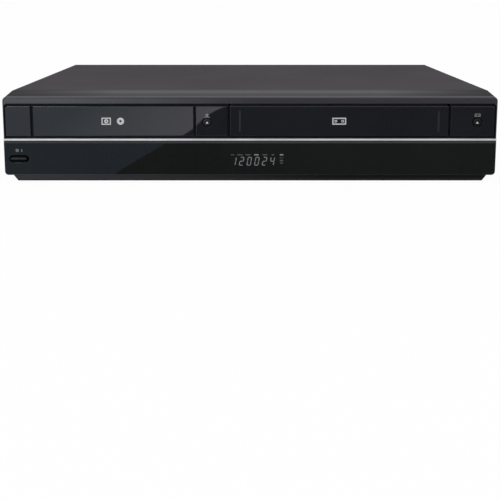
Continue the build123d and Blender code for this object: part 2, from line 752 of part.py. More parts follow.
def feet():
    pieces = []
    for x in (left + FOOT_SIDE_INSET, right - FOOT_SIDE_INSET):
        for y in (bezel_back + FOOT_END_INSET, cover_rear - FOOT_END_INSET):
            foot = post(x, y, 0, FOOT_HEIGHT, FOOT_RADIUS)
            foot = chamfer(foot.edges().group_by(Axis.Z)[0], FOOT_EDGE)
            foot -= post(x, y, -OVERRUN, FOOT_DIMPLE_DEPTH, FOOT_DIMPLE_RADIUS)
            pieces.append(foot)
    return group(pieces)


def screw():
    """A pan-head screw standing on its head's seat at the origin, shank down."""
    head = post(0, 0, 0, SCREW_HEAD_HEIGHT, SCREW_HEAD_RADIUS)
    head = fillet(head.edges().group_by(Axis.Z)[-1], SCREW_HEAD_HEIGHT / 2)
    half = SCREW_HEAD_RADIUS * SCREW_CROSS_SHARE
    top = SCREW_HEAD_HEIGHT + OVERRUN
    head -= span(-half, half, -SCREW_SLOT / 2, SCREW_SLOT / 2, SCREW_HEAD_HEIGHT / 2, top)
    head -= span(-SCREW_SLOT / 2, SCREW_SLOT / 2, -half, half, SCREW_HEAD_HEIGHT / 2, top)
    return head + post(0, 0, -SCREW_LENGTH, 0, SCREW_RADIUS)


def cover_screws():
    pieces = []
    for x, y in cover_side_screws():
        turn = 90 if x > 0 else -90
        pieces.append(Pos(x, y, side_screw_z()) * Rot(0, turn, 0) * screw())
    for x, z in rear_screw_places():
        pieces.append(Pos(x, cover_rear, z) * Rot(-90, 0, 0) * screw())
    return group(pieces)


# Front


def plate_recess_outline():
    outline = rectangle(left + RIM_WIDTH, right - RIM_WIDTH, trim_top, brow_z)
    return fillet(outline.vertices().group_by(Axis.Y)[-1], PLATE_CORNER + END_GAP)


def tray_opening():
    half = tray_width / 2 + TRAY_SIDE_GAP
    return span(
        tray_x - half, tray_x + half, wall_y - OVERRUN, wall_back + OVERRUN,
        tray_z - RACK_DEPTH - SLIDE_GAP, tray_top + SLIDE_GAP,
    )


def tape_opening():
    """The way that the cassette door swings through."""
    x0 = tape_door_x0 - SWING_GAP
    x1 = tape_door_x1 + SWING_GAP
    low = span(x0, x1, wall_y - OVERRUN, wall_back + OVERRUN, throat_floor, brow_z)
    reach = EAR_RADIUS + SLIDE_GAP
    high = span(x0, x1, hinge_y - reach, wall_back + OVERRUN, brow_z - OVERRUN, hinge_z + reach)
    return low + high


def tape_throat():
    """Floor and sides that lead a cassette to its holder, with the door's hinge bosses."""
    x0 = tape_door_x0 - SWING_GAP
    x1 = tape_door_x1 + SWING_GAP
    y1 = holder_y - HOLDER_GAP
    floor = throat_floor - THROAT_WALL
    throat = span(x0 - THROAT_WALL, x1 + THROAT_WALL, wall_y, y1, floor, throat_floor)
    for inner, outer in ((x0, x0 - THROAT_WALL), (x1, x1 + THROAT_WALL)):
        throat += span(min(inner, outer), max(inner, outer), wall_y, y1, floor, hinge_z)
    for inner, side in ((x0, -1), (x1, 1)):
        outer = inner + side * (HINGE_PIN_BITE + THROAT_WALL)
        throat += span(
            min(inner, outer), max(inner, outer), wall_y, hinge_y + HINGE_BOSS_RADIUS,
            hinge_z - HINGE_BOSS_RADIUS, hinge_z + HINGE_BOSS_RADIUS,
        )
    return throat


def hinge_bores():
    pin_reach = SWING_GAP + HINGE_PIN_BITE + SEAT_GAP
    radius = HINGE_PIN_RADIUS + FIT_GAP
    return rod_x(tape_door_x0 - pin_reach, tape_door_x1 + pin_reach, hinge_y, hinge_z, radius)


def chin():
    top = width / 2 - CHIN_INSET
    bottom = top - CHIN_SLANT
    y0 = face_y + CHIN_RECESS
    corners = [(-top, fascia_z), (-bottom, CHIN_LIFT), (bottom, CHIN_LIFT), (top, fascia_z)]
    inner = bottom - BEZEL_WALL
    skirt = front_plate(Polygon(*corners, align=None), y0, bezel_back)
    return skirt - span(-inner, inner, y0 + BEZEL_WALL, bezel_back + OVERRUN, CHIN_LIFT - OVERRUN, fascia_z)


def power_slot(grow, y0, y1):
    outline = SlotOverall(POWER_WIDTH + 2 * grow, POWER_HEIGHT + 2 * grow)
    return front_plate(Pos(power_x, power_z) * outline, y0, y1)


def display_window():
    half_wide = DISPLAY_WIDTH / 2 - WINDOW_LAP
    half_tall = DISPLAY_HEIGHT / 2 - WINDOW_LAP
    return span(
        DISPLAY_SHIFT - half_wide, DISPLAY_SHIFT + half_wide, wall_y - OVERRUN, wall_back + OVERRUN,
        display_z - half_tall, display_z + half_tall,
    )


def front_bezel():
    slope = CROWN_RISE / (bezel_back - face_y)
    outline = [(bezel_back, fascia_z), (face_y, fascia_z), (face_y, brow_top), (bezel_back, height)]
    shell = side_prism(outline, left, right)
    shell = fillet(shell.edges().filter_by(Axis.Y).group_by(Axis.Z)[0], FASCIA_CORNER)
    crown = shell.faces().sort_by(Axis.Z)[-1].edges().sort_by(Axis.X)
    shell = fillet([crown[0], crown[-1]], SHOULDER_RADIUS)
    shell = soften_front(shell, CREST_RADIUS)
    roof = brow_top + slope * (wall_back - face_y) - BEZEL_WALL
    far = bezel_back + OVERRUN
    cavity = [
        (wall_back, fascia_z + BEZEL_WALL),
        (wall_back, roof),
        (far, height + slope * OVERRUN - BEZEL_WALL),
        (far, fascia_z + BEZEL_WALL),
    ]
    shell -= side_prism(cavity, left + cheek_wall, right - cheek_wall)
    shell -= front_plate(plate_recess_outline(), face_y - OVERRUN, wall_y)
    shell -= span(left - OVERRUN, right + OVERRUN, face_y - OVERRUN, wall_y, fascia_z - OVERRUN, trim_top)
    shell -= tray_opening()
    shell += tape_throat()
    shell -= tape_opening()
    shell -= hinge_bores()
    shell -= display_window()
    shell -= power_slot(KEY_HOLE_GAP, wall_y - OVERRUN, wall_back + OVERRUN)
    for x in (disc_key_x, tape_key_x):
        shell -= rod_y(x, key_z, wall_y - OVERRUN, wall_back + OVERRUN, KEY_RADIUS + KEY_HOLE_GAP)
    shell += chin()
    for share in BOARD_BOSS_PLACE_SHARES:
        shell += rod_y(width * share, board_low() + BOARD_BOSS_RADIUS, wall_back, board_y, BOARD_BOSS_RADIUS)
    for share in CLIP_PLACE_SHARES:
        x0 = width * share - CLIP_WIDTH / 2
        x1 = x0 + CLIP_WIDTH
        clip_top = pan_top + BEZEL_WALL
        shell += span(x0, x1, bezel_back - CLIP_REACH, bezel_back, fascia_z, clip_top)
        shell += span(x0, x1, bezel_back - CLIP_REACH, bezel_back + CLIP_REACH, pan_top, clip_top)
    return shell


def plate(x0, x1, corner):
    """A glossy front plate; corner is -1 or 1 where its outer top corner is round, or 0."""
    outline = rectangle(x0, x1, door_z, door_top)
    if corner:
        top = outline.vertices().group_by(Axis.Y)[-1].sort_by(Axis.X)
        outline = fillet(top[0] if corner < 0 else top[-1], PLATE_CORNER)
    return soften_front(front_plate(outline, plate_y, wall_y), PLATE_EDGE)


def key_hole(x):
    return rod_y(x, key_z, plate_y - OVERRUN, wall_y + OVERRUN, KEY_RADIUS + KEY_MOAT)


def badge_plate():
    return plate(badge_x0, badge_x1, -1)


def disc_key_plate():
    return plate(disc_keys_x0, disc_keys_x1, 0) - key_hole(disc_key_x)


def tape_key_plate():
    return plate(tape_keys_x0, tape_keys_x1, 1) - key_hole(tape_key_x)


def trim_strip():
    strip = span(left, right, front_y, wall_y, trim_z, trim_top)
    edges = strip.faces().sort_by(Axis.Y)[0].edges().filter_by(Axis.X)
    return fillet(edges, TRIM_EDGE)


def lower_fascia():
    outline = rectangle(left, right, fascia_z, trim_z)
    outline = fillet(outline.vertices().group_by(Axis.Y)[0], FASCIA_CORNER)
    panel = soften_front(front_plate(outline, face_y, wall_y), FASCIA_EDGE)
    bevel = [
        (face_y - OVERRUN, trim_z - BEVEL_HEIGHT),
        (face_y, trim_z - BEVEL_HEIGHT),
        (face_y + BEVEL_DEPTH, trim_z),
        (face_y + BEVEL_DEPTH, trim_z + OVERRUN),
        (face_y - OVERRUN, trim_z + OVERRUN),
    ]
    panel -= side_prism(bevel, left - OVERRUN, right + OVERRUN)
    return panel - power_slot(KEY_MOAT, face_y - OVERRUN, wall_y + OVERRUN)


def round_key(x):
    flange_y = wall_back + SLIDE_GAP
    cap = rod_y(x, key_z, plate_y + KEY_SINK, flange_y, KEY_RADIUS)
    cap = soften_front(cap, KEY_EDGE)
    return cap + rod_y(x, key_z, flange_y, flange_y + KEY_FLANGE, KEY_RADIUS + KEY_LIP)


def power_button():
    flange_y = wall_back + SLIDE_GAP
    cap = soften_front(power_slot(0, face_y + KEY_SINK, flange_y), POWER_EDGE)
    return cap + power_slot(KEY_LIP, flange_y, flange_y + KEY_FLANGE)


def disc_eject_button():
    return round_key(disc_key_x)


def tape_eject_button():
    return round_key(tape_key_x)


def board_low():
    return fascia_z + BEZEL_WALL + BOARD_AIR


def front_board():
    top = throat_floor - THROAT_WALL - BOARD_AIR
    back = board_y + BOARD_SHEET
    half = width / 2 - cheek_wall - BOARD_AIR
    board = span(-half, half, board_y, back, board_low(), top)
    for x0, x1 in ((disc_keys_x0, disc_keys_x1), (tape_keys_x0, tape_keys_x1)):
        board += span(x0 + TONGUE_INSET, x1 - TONGUE_INSET, board_y, back, top, key_z + TONGUE_RISE)
    return board


def tact_switches():
    pieces = []
    half = SWITCH_SIZE / 2
    for x, z in ((power_x, power_z), (disc_key_x, key_z), (tape_key_x, key_z)):
        body = span(x - half, x + half, switch_y, board_y, z - half, z + half)
        pieces.append(body + rod_y(x, z, switch_y - PLUNGER_HEIGHT, switch_y, PLUNGER_RADIUS))
    return group(pieces)


def display_block(y0, y1, inset):
    half_wide = DISPLAY_WIDTH / 2 - inset
    half_tall = DISPLAY_HEIGHT / 2 - inset
    return span(
        DISPLAY_SHIFT - half_wide, DISPLAY_SHIFT + half_wide, y0, y1,
        display_z - half_tall, display_z + half_tall,
    )


def display_tube():
    y0 = wall_back + DISPLAY_AIR
    return display_block(y0, y0 + DISPLAY_GLASS, 0)


def display_holder():
    return display_block(wall_back + DISPLAY_AIR + DISPLAY_GLASS, board_y, WINDOW_LAP)


# Cassette door


def inlay_places():
    return (tape_door_x0 + INLAY_INSET, tape_door_x1 - INLAY_INSET)


def inlay(x):
    half = INLAY_WIDTH / 2
    back = plate_y + INLAY_DEPTH
    return span(x - half, x + half, plate_y, back, door_z + INLAY_FOOT, door_top - INLAY_HEAD)


def hinge_arm(drop, radius, x0, x1):
    """A round-ended arm from the cassette door's top up to its hinge axis."""
    profile = [
        (door_back, door_top - drop),
        (hinge_y + radius, hinge_z),
        (hinge_y - radius, hinge_z),
        (door_back, door_top),
    ]
    return side_prism(profile, x0, x1) + rod_x(x0, x1, hinge_y, hinge_z, radius)


def tape_door():
    door = front_plate(rectangle(tape_door_x0, tape_door_x1, door_z, door_top), plate_y, door_back)
    door = soften_front(door, PLATE_EDGE)
    pin_reach = SWING_GAP + HINGE_PIN_BITE
    inner = (tape_door_x0 + EAR_INSET, tape_door_x1 - EAR_INSET)
    door += hinge_arm(HINGE_WEB_DROP, HINGE_PIN_RADIUS, *inner)
    for edge, side in ((tape_door_x0, 1), (tape_door_x1, -1)):
        ends = sorted((edge + side * EAR_INSET, edge + side * (EAR_INSET + EAR_THICK)))
        door += hinge_arm(EAR_DROP, EAR_RADIUS, *ends)
        pin = sorted((edge - side * pin_reach, edge + side * EAR_INSET))
        door += rod_x(*pin, hinge_y, hinge_z, HINGE_PIN_RADIUS)
    for x in inlay_places():
        door -= inlay(x)
    return door


def door_inlays():
    return group([inlay(x) for x in inlay_places()])


# Disc loader


def tray_door():
    door = front_plate(rectangle(tray_door_x0, tray_door_x1, door_z, door_top), plate_y, door_back)
    return soften_front(door, PLATE_EDGE)


def disc_tray():
    half = tray_width / 2
    body_half = half - TRAY_LEDGE_WIDTH
    tray = span(tray_x - body_half, tray_x + body_half, door_back, tray_rear, tray_z, tray_top)
    tray += span(tray_x - half, tray_x + half, door_back, tray_rear, tray_z, tray_z + TRAY_LEDGE)
    floor = tray_top - RECESS_DEPTH
    tray -= post(tray_x, disc_y, floor, tray_top + OVERRUN, DISC_RADIUS + DISC_ROOM)
    tray -= post(tray_x, disc_y, floor - SMALL_DISC_STEP, floor + OVERRUN, SMALL_DISC_RADIUS)
    tray -= post(tray_x, disc_y, tray_z - OVERRUN, tray_top, WINDOW_RADIUS)
    low = tray_z - OVERRUN
    tray -= span(tray_x - SLOT_HALF, tray_x + SLOT_HALF, disc_y, tray_slot_end, low, tray_top + OVERRUN)
    return tray + slab(rack_outline(), tray_z - RACK_DEPTH, tray_z)


def loader_frame():
    x0 = tray_x - loader_half
    x1 = tray_x + loader_half
    frame = span(x0, x1, loader_y, loader_rear, base_z, base_top)
    frame += span(x0, x1, loader_rear - LOADER_WALL, loader_rear, base_top, loader_top)
    ledge_top = tray_z + TRAY_LEDGE + SLIDE_GAP
    rails = ((tray_z - SLIDE_GAP - RAIL_THICK, tray_z - SLIDE_GAP), (ledge_top, ledge_top + RAIL_THICK))
    for side in (-1, 1):
        outer = tray_x + side * loader_half
        inner = outer - side * LOADER_WALL
        tip = inner - side * RAIL_REACH
        frame += span(min(outer, inner), max(outer, inner), loader_y, loader_rear, base_top, loader_top)
        for z0, z1 in rails:
            frame += span(min(inner, tip), max(inner, tip), loader_y, loader_rear, z0, z1)
    frame -= post(motor_x, gear_y, base_z - OVERRUN, base_top + OVERRUN, MOTOR_RADIUS + SLIDE_GAP)
    wheel_top = wheel_z + GEAR_THICK
    pinion_top = pinion_z + GEAR_THICK
    for x, seat, top in ((gear_x, wheel_z, pinion_top), (pulley_x, pulley_z, wheel_top)):
        frame += post(x, gear_y, base_top, seat - SEAT_GAP, GEAR_SEAT_RADIUS)
        frame += post(x, gear_y, base_top, top, GEAR_POST_RADIUS)
    for x, y in lift_posts:
        frame += post(x, y, base_top, traverse_z - SEAT_GAP, LIFT_SEAT_RADIUS)
        frame += post(x, y, base_top, bush_top + traverse_lift, LIFT_POST_RADIUS)
    leg = LEG_RADIUS + LEG_MARGIN
    for x in (x0 + leg, x1 - leg):
        for y in (bezel_back + CLIP_REACH + leg, loader_rear - leg):
            frame += post(x, y, pan_top, base_z, LEG_RADIUS)
    return frame


def bored(gear, x, y, z0, z1, radius):
    return gear - post(x, y, z0 - OVERRUN, z1 + OVERRUN, radius + FIT_GAP)


def drive_gear():
    pinion = Pos(gear_x, gear_y) * gear_outline(PINION_TEETH, PINION_MODULE, pi + pi / PINION_TEETH)
    wheel = Pos(gear_x, gear_y) * gear_outline(WHEEL_TEETH, WHEEL_MODULE, 0)
    middle = wheel_z + GEAR_THICK
    top = pinion_z + GEAR_THICK
    gear = slab(pinion, middle, top) + slab(wheel, wheel_z, middle)
    return bored(gear, gear_x, gear_y, wheel_z, top, GEAR_POST_RADIUS)


def pulley(x, y, z, radius):
    """A belt pulley with two flanges, its belt resting on the drum between them."""
    top = z + pulley_height
    drum = post(x, y, z, top, radius)
    drum += post(x, y, z, z + PULLEY_FLANGE_THICK, radius + PULLEY_FLANGE)
    return drum + post(x, y, top - PULLEY_FLANGE_THICK, top, radius + PULLEY_FLANGE)


def pulley_gear():
    spur = Pos(pulley_x, gear_y) * gear_outline(SPUR_TEETH, WHEEL_MODULE, pi + pi / SPUR_TEETH)
    top = wheel_z + GEAR_THICK
    gear = pulley(pulley_x, gear_y, pulley_z, PULLEY_RADIUS) + slab(spur, pulley_z + pulley_height, top)
    return bored(gear, pulley_x, gear_y, pulley_z, top, GEAR_POST_RADIUS)


def motor_pulley():
    wheel = pulley(motor_x, gear_y, pulley_z, MOTOR_PULLEY_RADIUS)
    return bored(wheel, motor_x, gear_y, pulley_z, pulley_z + pulley_height, MOTOR_SHAFT_RADIUS)


def belt_outline(grow):
    return hull_of(
        [
            Pos(pulley_x, gear_y) * Circle(PULLEY_RADIUS + grow),
            Pos(motor_x, gear_y) * Circle(MOTOR_PULLEY_RADIUS + grow),
        ]
    )


def loading_belt():
    z0 = pulley_z + PULLEY_FLANGE_THICK + SLIDE_GAP
    z1 = z0 + BELT_WIDTH
    return slab(belt_outline(FIT_GAP + BELT_THICK), z0, z1) - slab(belt_outline(FIT_GAP), z0, z1)


def loading_motor():
    top = pulley_z - SEAT_GAP
    motor = post(motor_x, gear_y, base_z - MOTOR_DROP, top, MOTOR_RADIUS)
    motor += post(motor_x, gear_y, base_top, base_top + MOTOR_FLANGE_THICK, MOTOR_RADIUS + MOTOR_FLANGE)
    return motor + post(motor_x, gear_y, top, pulley_z + pulley_height, MOTOR_SHAFT_RADIUS)


def clamp_bridge():
    x0 = tray_x - loader_half
    x1 = tray_x + loader_half
    top = loader_top + BRIDGE_THICK
    bridge = span(x0, x1, disc_y - BRIDGE_HALF, disc_y + BRIDGE_HALF, loader_top, top)
    return bridge - post(tray_x, disc_y, loader_top - OVERRUN, top + OVERRUN, CLAMPER_NECK + SLIDE_GAP)


def disc_clamper():
    seat = loader_top + BRIDGE_THICK + SEAT_GAP
    puck = post(tray_x, disc_y, clamper_z, seat, CLAMPER_NECK)
    puck += post(tray_x, disc_y, seat, seat + CLAMPER_FLANGE, CLAMPER_RADIUS)
    return puck - post(
        tray_x, disc_y, clamper_z - OVERRUN, clamper_z + CLAMPER_SOCKET_DEPTH, HUB_RADIUS + SLIDE_GAP
    )


def traverse_frame():
    plate_x0 = tray_x - TRAVERSE_HALF
    plate_x1 = tray_x + TRAVERSE_HALF
    frame = span(plate_x0, plate_x1, disc_y - TRAVERSE_HEAD, disc_y + TRAVERSE_TAIL, traverse_z, traverse_top)
    for x, y in lift_posts:
        frame += post(x, y, traverse_top, bush_top, LIFT_BUSH_RADIUS)
        frame -= post(x, y, traverse_z - OVERRUN, bush_top + OVERRUN, LIFT_POST_RADIUS + FIT_GAP)
    for x in (tray_x - rod_half, tray_x + rod_half, screw_x):
        for y in (lug_front_y, lug_rear_y):
            frame += span(x - LUG_HALF, x + LUG_HALF, y, y + LUG_THICK, traverse_top, rod_z + LUG_HALF)
    for x in (tray_x - rod_half, tray_x + rod_half, screw_x):
        frame -= rod_y(x, rod_z, lug_front_y - OVERRUN, sled_motor_y, ROD_RADIUS + FIT_GAP)
    room = SLED_MOTOR_RADIUS + SLIDE_GAP
    y1 = sled_motor_y + SLED_MOTOR_LENGTH + SLIDE_GAP
    low = traverse_z - OVERRUN
    return frame - span(screw_x - room, screw_x + room, sled_motor_y, y1, low, traverse_top + OVERRUN)


def spindle_motor():
    top = turntable_z - SLIDE_GAP
    floor = traverse_top + TRAVERSE_SHEET
    motor = post(tray_x, disc_y, traverse_top, top, SPINDLE_MOTOR_RADIUS)
    return motor - post(tray_x, disc_y, floor, top + OVERRUN, SPINDLE_RADIUS + FIT_GAP)


def turntable():
    table = post(tray_x, disc_y, turntable_z, turntable_top, TURNTABLE_RADIUS)
    hub = post(tray_x, disc_y, turntable_top, turntable_top + HUB_HEIGHT, HUB_RADIUS)
    hub = chamfer(hub.edges().group_by(Axis.Z)[-1], HUB_HEIGHT / 2)
    foot = traverse_top + TRAVERSE_SHEET + SEAT_GAP
    return table + hub + post(tray_x, disc_y, foot, turntable_z, SPINDLE_RADIUS)


def optical_pickup():
    y0 = pickup_y - PICKUP_LENGTH / 2
    y1 = pickup_y + PICKUP_LENGTH / 2
    z0 = rod_z - PICKUP_BLOCK / 2 + SLIDE_GAP
    z1 = rod_z + PICKUP_BLOCK / 2 + SLIDE_GAP
    head_top = lens_top - LENS_HEIGHT
    sled = span(tray_x - pickup_half, tray_x + pickup_half, y0, y1, z0, z1)
    sled += span(tray_x - PICKUP_HEAD_HALF, tray_x + PICKUP_HEAD_HALF, y0, y1, z1, head_top)
    nut_x = screw_x - ROD_RADIUS - SLIDE_GAP
    sled += span(tray_x + pickup_half, nut_x, pickup_y - NUT_HALF, pickup_y + NUT_HALF, z0, z1)
    for side in (-1, 1):
        sled -= rod_y(tray_x + side * rod_half, rod_z, y0 - OVERRUN, y1 + OVERRUN, ROD_RADIUS + FIT_GAP)
    return sled


def pickup_lens():
    lens = post(tray_x, pickup_y, lens_top - LENS_HEIGHT, lens_top, LENS_RADIUS)
    return fillet(lens.edges().group_by(Axis.Z)[-1], LENS_HEIGHT / 2)


def traverse_rod(x):
    return rod_y(x, rod_z, lug_front_y, sled_motor_y - SEAT_GAP, ROD_RADIUS)


def pickup_rods():
    return group([traverse_rod(tray_x + side * rod_half) for side in (-1, 1)])


def lead_screw():
    return traverse_rod(screw_x)


def sled_motor():
    y1 = sled_motor_y + SLED_MOTOR_LENGTH
    return rod_y(screw_x, rod_z, sled_motor_y, y1, SLED_MOTOR_RADIUS)


# Cassette bay and tape deck


def deck_plate():
    deck = span(tape_x - deck_half, tape_x + deck_half, holder_y, deck_rear, deck_z, deck_top)
    deck -= post(capstan_x, capstan_y, deck_z - OVERRUN, deck_top + OVERRUN, BEARING_RADIUS + FIT_GAP)
    for side in (-1, 1):
        reel_top = deck_top + SEAT_GAP + REEL_HUB_HEIGHT
        deck += post(tape_x + side * REEL_SPACING / 2, reel_y, deck_top, reel_top, REEL_POST_RADIUS)
    deck += post(pivot_x, pivot_y, deck_top, arm_z - SEAT_GAP, ARM_END_RADIUS)
    deck += post(pivot_x, pivot_y, deck_top, arm_z + 2 * ARM_THICK, PIVOT_POST_RADIUS)
    leg = DECK_LEG_RADIUS + DECK_LEG_INSET
    for x in (tape_x - deck_half + leg, tape_x + deck_half - leg):
        for y in (holder_y + CLIP_REACH + leg, (holder_y + deck_rear) / 2, deck_rear - leg):
            deck += post(x, y, pan_top, deck_z, DECK_LEG_RADIUS)
    return deck


def carriage_pins():
    """Places of the carriage's own pins, behind the slots that its holder's pins run in."""
    return [y + CARRIAGE_PIN_STEP for y in pin_places]


def deck_brackets():
    pieces = []
    slot_half = HOLDER_PIN_RADIUS + FIT_GAP
    top = carriage_pin_z + slot_half + SLOT_WALL
    y0 = pin_places[0]
    y1 = carriage_pins()[-1] + CARRIAGE_TRAVEL + slot_half + SLOT_WALL
    for side in (-1, 1):
        inner = tape_x + side * bracket_in
        outer = tape_x + side * bracket_out
        toe = tape_x + side * deck_half
        wall = span(min(inner, outer), max(inner, outer), y0, y1, deck_top, top)
        wall += span(min(inner, toe), max(inner, toe), y0, y1, deck_top, deck_top + BRACKET_SHEET)
        for y in carriage_pins():
            x0 = min(inner, outer) - OVERRUN
            x1 = max(inner, outer) + OVERRUN
            y_end = y + CARRIAGE_TRAVEL
            wall -= span(x0, x1, y, y_end, carriage_pin_z - slot_half, carriage_pin_z + slot_half)
            for end in (y, y_end):
                wall -= rod_x(x0, x1, end, carriage_pin_z, slot_half)
        pieces.append(wall)
    return group(pieces)


def cassette_carriage():
    slot_half = HOLDER_PIN_RADIUS + FIT_GAP
    y0 = holder_y + CARRIAGE_MARGIN
    y1 = holder_y + holder_length - CARRIAGE_MARGIN
    z0 = holder_pin_z - holder_drop - slot_half - SLOT_WALL
    middle = holder_y + holder_length / 2
    top = carriage_top + CARRIAGE_SHEET
    carriage = span(
        tape_x - carriage_out, tape_x + carriage_out, middle - CARRIAGE_BAR / 2, middle + CARRIAGE_BAR / 2,
        carriage_top, top,
    )
    for side in (-1, 1):
        inner = tape_x + side * carriage_in
        outer = tape_x + side * carriage_out
        tip = tape_x + side * bracket_out
        x0 = min(inner, outer)
        x1 = max(inner, outer)
        carriage += span(x0, x1, y0, y1, z0, carriage_top)
        carriage += span(x0, x1, middle - CARRIAGE_BAR / 2, middle + CARRIAGE_BAR / 2, z0, top)
        for y in pin_places:
            z_end = holder_pin_z - holder_drop
            carriage -= span(x0 - SEAT_GAP, x1 + SEAT_GAP, y - slot_half, y + slot_half, z_end, holder_pin_z)
            for z in (holder_pin_z, z_end):
                carriage -= rod_x(x0 - SEAT_GAP, x1 + SEAT_GAP, y, z, slot_half)
        for y in carriage_pins():
            carriage += rod_x(min(outer, tip), max(outer, tip), y, carriage_pin_z, HOLDER_PIN_RADIUS)
    return carriage


def cassette_holder():
    y1 = holder_y + holder_length
    floor = holder_z - HOLDER_SHEET
    roof = holder_roof + HOLDER_SHEET
    holder = span(tape_x - holder_half, tape_x + holder_half, holder_y, y1, holder_roof, roof)
    for side in (-1, 1):
        outer = tape_x + side * holder_half
        inner = outer - side * HOLDER_SHEET
        tip = inner - side * HOLDER_LEDGE
        holder += span(min(outer, inner), max(outer, inner), holder_y, y1, floor, roof)
        holder += span(min(outer, tip), max(outer, tip), holder_y, y1, floor, holder_z)
        pin = tape_x + side * carriage_out
        for y in pin_places:
            holder += rod_x(min(outer, pin), max(outer, pin), y, holder_pin_z, HOLDER_PIN_RADIUS)
    return holder


def lower_drum():
    drum = post(tape_x, drum_y, deck_top, deck_top + LOWER_DRUM_HEIGHT, DRUM_RADIUS)
    return drum + post(tape_x, drum_y, deck_top, drum_top - DRUM_CUP_DEPTH, DRUM_SHAFT_RADIUS)


def upper_drum():
    drum = post(tape_x, drum_y, upper_drum_z, drum_top, DRUM_RADIUS)
    drum -= post(tape_x, drum_y, drum_top - DRUM_CUP_DEPTH, drum_top + OVERRUN, DRUM_CUP_RADIUS)
    drum -= post(tape_x, drum_y, upper_drum_z - OVERRUN, drum_top, DRUM_SHAFT_RADIUS + FIT_GAP)
    for side in (-1, 1):
        edge = tape_x + side * DRUM_RADIUS
        drum -= span(
            edge - HEAD_NOTCH, edge + HEAD_NOTCH, drum_y - HEAD_NOTCH, drum_y + HEAD_NOTCH,
            upper_drum_z - OVERRUN, upper_drum_z + HEAD_NOTCH,
        )
    return drum


def reel_table(x):
    z0 = deck_top + SEAT_GAP
    top = z0 + REEL_HUB_HEIGHT
    table = post(x, reel_y, z0, z0 + REEL_THICK, REEL_RADIUS) + post(x, reel_y, z0, top, REEL_HUB_RADIUS)
    reach = REEL_HUB_RADIUS + REEL_FIN_REACH
    for fin in range(REEL_FINS):
        blade = span(0, reach, -REEL_FIN_THICK / 2, REEL_FIN_THICK / 2, z0, top)
        table += Pos(x, reel_y) * Rot(0, 0, 360 * fin / REEL_FINS) * blade
    return bored(table, x, reel_y, z0, top, REEL_POST_RADIUS)


def supply_reel_table():
    return reel_table(tape_x - REEL_SPACING / 2)


def takeup_reel_table():
    return reel_table(tape_x + REEL_SPACING / 2)


def capstan():
    shaft = post(capstan_x, capstan_y, flywheel_z, deck_top + CAPSTAN_RISE, CAPSTAN_RADIUS)
    return shaft + post(capstan_x, capstan_y, flywheel_z, flywheel_top, FLYWHEEL_RADIUS)


def capstan_bearing():
    top = arm_z - SLIDE_GAP
    bush = post(capstan_x, capstan_y, stator_z, top, BEARING_RADIUS)
    return bored(bush, capstan_x, capstan_y, stator_z, top, CAPSTAN_RADIUS)


def capstan_motor():
    half = STATOR_SIZE / 2
    stator = span(capstan_x - half, capstan_x + half, capstan_y - half, capstan_y + half, stator_z, deck_z)
    stator += post(capstan_x, capstan_y, stator_z - COIL_THICK, stator_z, COIL_RADIUS)
    stator -= post(capstan_x, capstan_y, stator_z - COIL_THICK - OVERRUN, stator_z, COIL_BORE)
    return stator - post(capstan_x, capstan_y, stator_z - OVERRUN, deck_z + OVERRUN, BEARING_RADIUS + FIT_GAP)


def pinch_arm():
    outline = hull_of(
        [Pos(pivot_x, pivot_y) * Circle(ARM_END_RADIUS), Pos(roller_x, roller_y) * Circle(ARM_END_RADIUS)]
    )
    arm = slab(outline, arm_z, arm_z + ARM_THICK)
    arm += post(pivot_x, pivot_y, arm_z, arm_z + 2 * ARM_THICK, ARM_END_RADIUS)
    arm += post(roller_x, roller_y, arm_z, roller_z + ROLLER_HEIGHT, ROLLER_PIN_RADIUS)
    return bored(arm, pivot_x, pivot_y, arm_z, arm_z + 2 * ARM_THICK, PIVOT_POST_RADIUS)


def pinch_roller():
    roller = post(roller_x, roller_y, roller_z, roller_z + ROLLER_HEIGHT, ROLLER_RADIUS)
    return bored(roller, roller_x, roller_y, roller_z, roller_z + ROLLER_HEIGHT, ROLLER_PIN_RADIUS)


def tape_head(shares, size):
    """A head block on its base, placed from the drum's middle."""
    x = tape_x + shares[0] * DRUM_RADIUS
    y = drum_y + shares[1] * DRUM_RADIUS
    wide, long, tall = size
    base = span(x - wide / 2, x + wide / 2, y - long / 2, y + long / 2, deck_top, deck_top + HEAD_BASE)
    wide -= 2 * HEAD_INSET
    long -= 2 * HEAD_INSET
    top = deck_top + HEAD_BASE + tall
    return base + span(x - wide / 2, x + wide / 2, y - long / 2, y + long / 2, deck_top, top)


def erase_head():
    return tape_head(ERASE_PLACE_SHARES, ERASE_SIZE)


def audio_head():
    return tape_head(AUDIO_PLACE_SHARES, AUDIO_SIZE)


def tape_guides():
    pieces = []
    for across, back in GUIDE_PLACE_SHARES:
        x = tape_x + across * DRUM_RADIUS
        y = drum_y + back * DRUM_RADIUS
        top = deck_top + HEAD_BASE + GUIDE_HEIGHT
        guide = post(x, y, deck_top, deck_top + HEAD_BASE, GUIDE_FLANGE_RADIUS)
        guide += post(x, y, deck_top, top, GUIDE_RADIUS)
        pieces.append(guide + post(x, y, top - GUIDE_FLANGE, top, GUIDE_FLANGE_RADIUS))
    return group(pieces)


def deck_motor():
    x = tape_x + deck_half - DECK_MOTOR_INSET
    z = deck_top + HEAD_BASE + DECK_MOTOR_RADIUS
    y0 = drum_y - DECK_MOTOR_LENGTH / 2
    y1 = drum_y + DECK_MOTOR_LENGTH / 2
    cradle = span(x - DECK_MOTOR_RADIUS, x + DECK_MOTOR_RADIUS, y0, y1, deck_top, z - DECK_MOTOR_RADIUS / 2)
    return cradle + rod_y(x, z, y0, y1, DECK_MOTOR_RADIUS)


# Rear bay


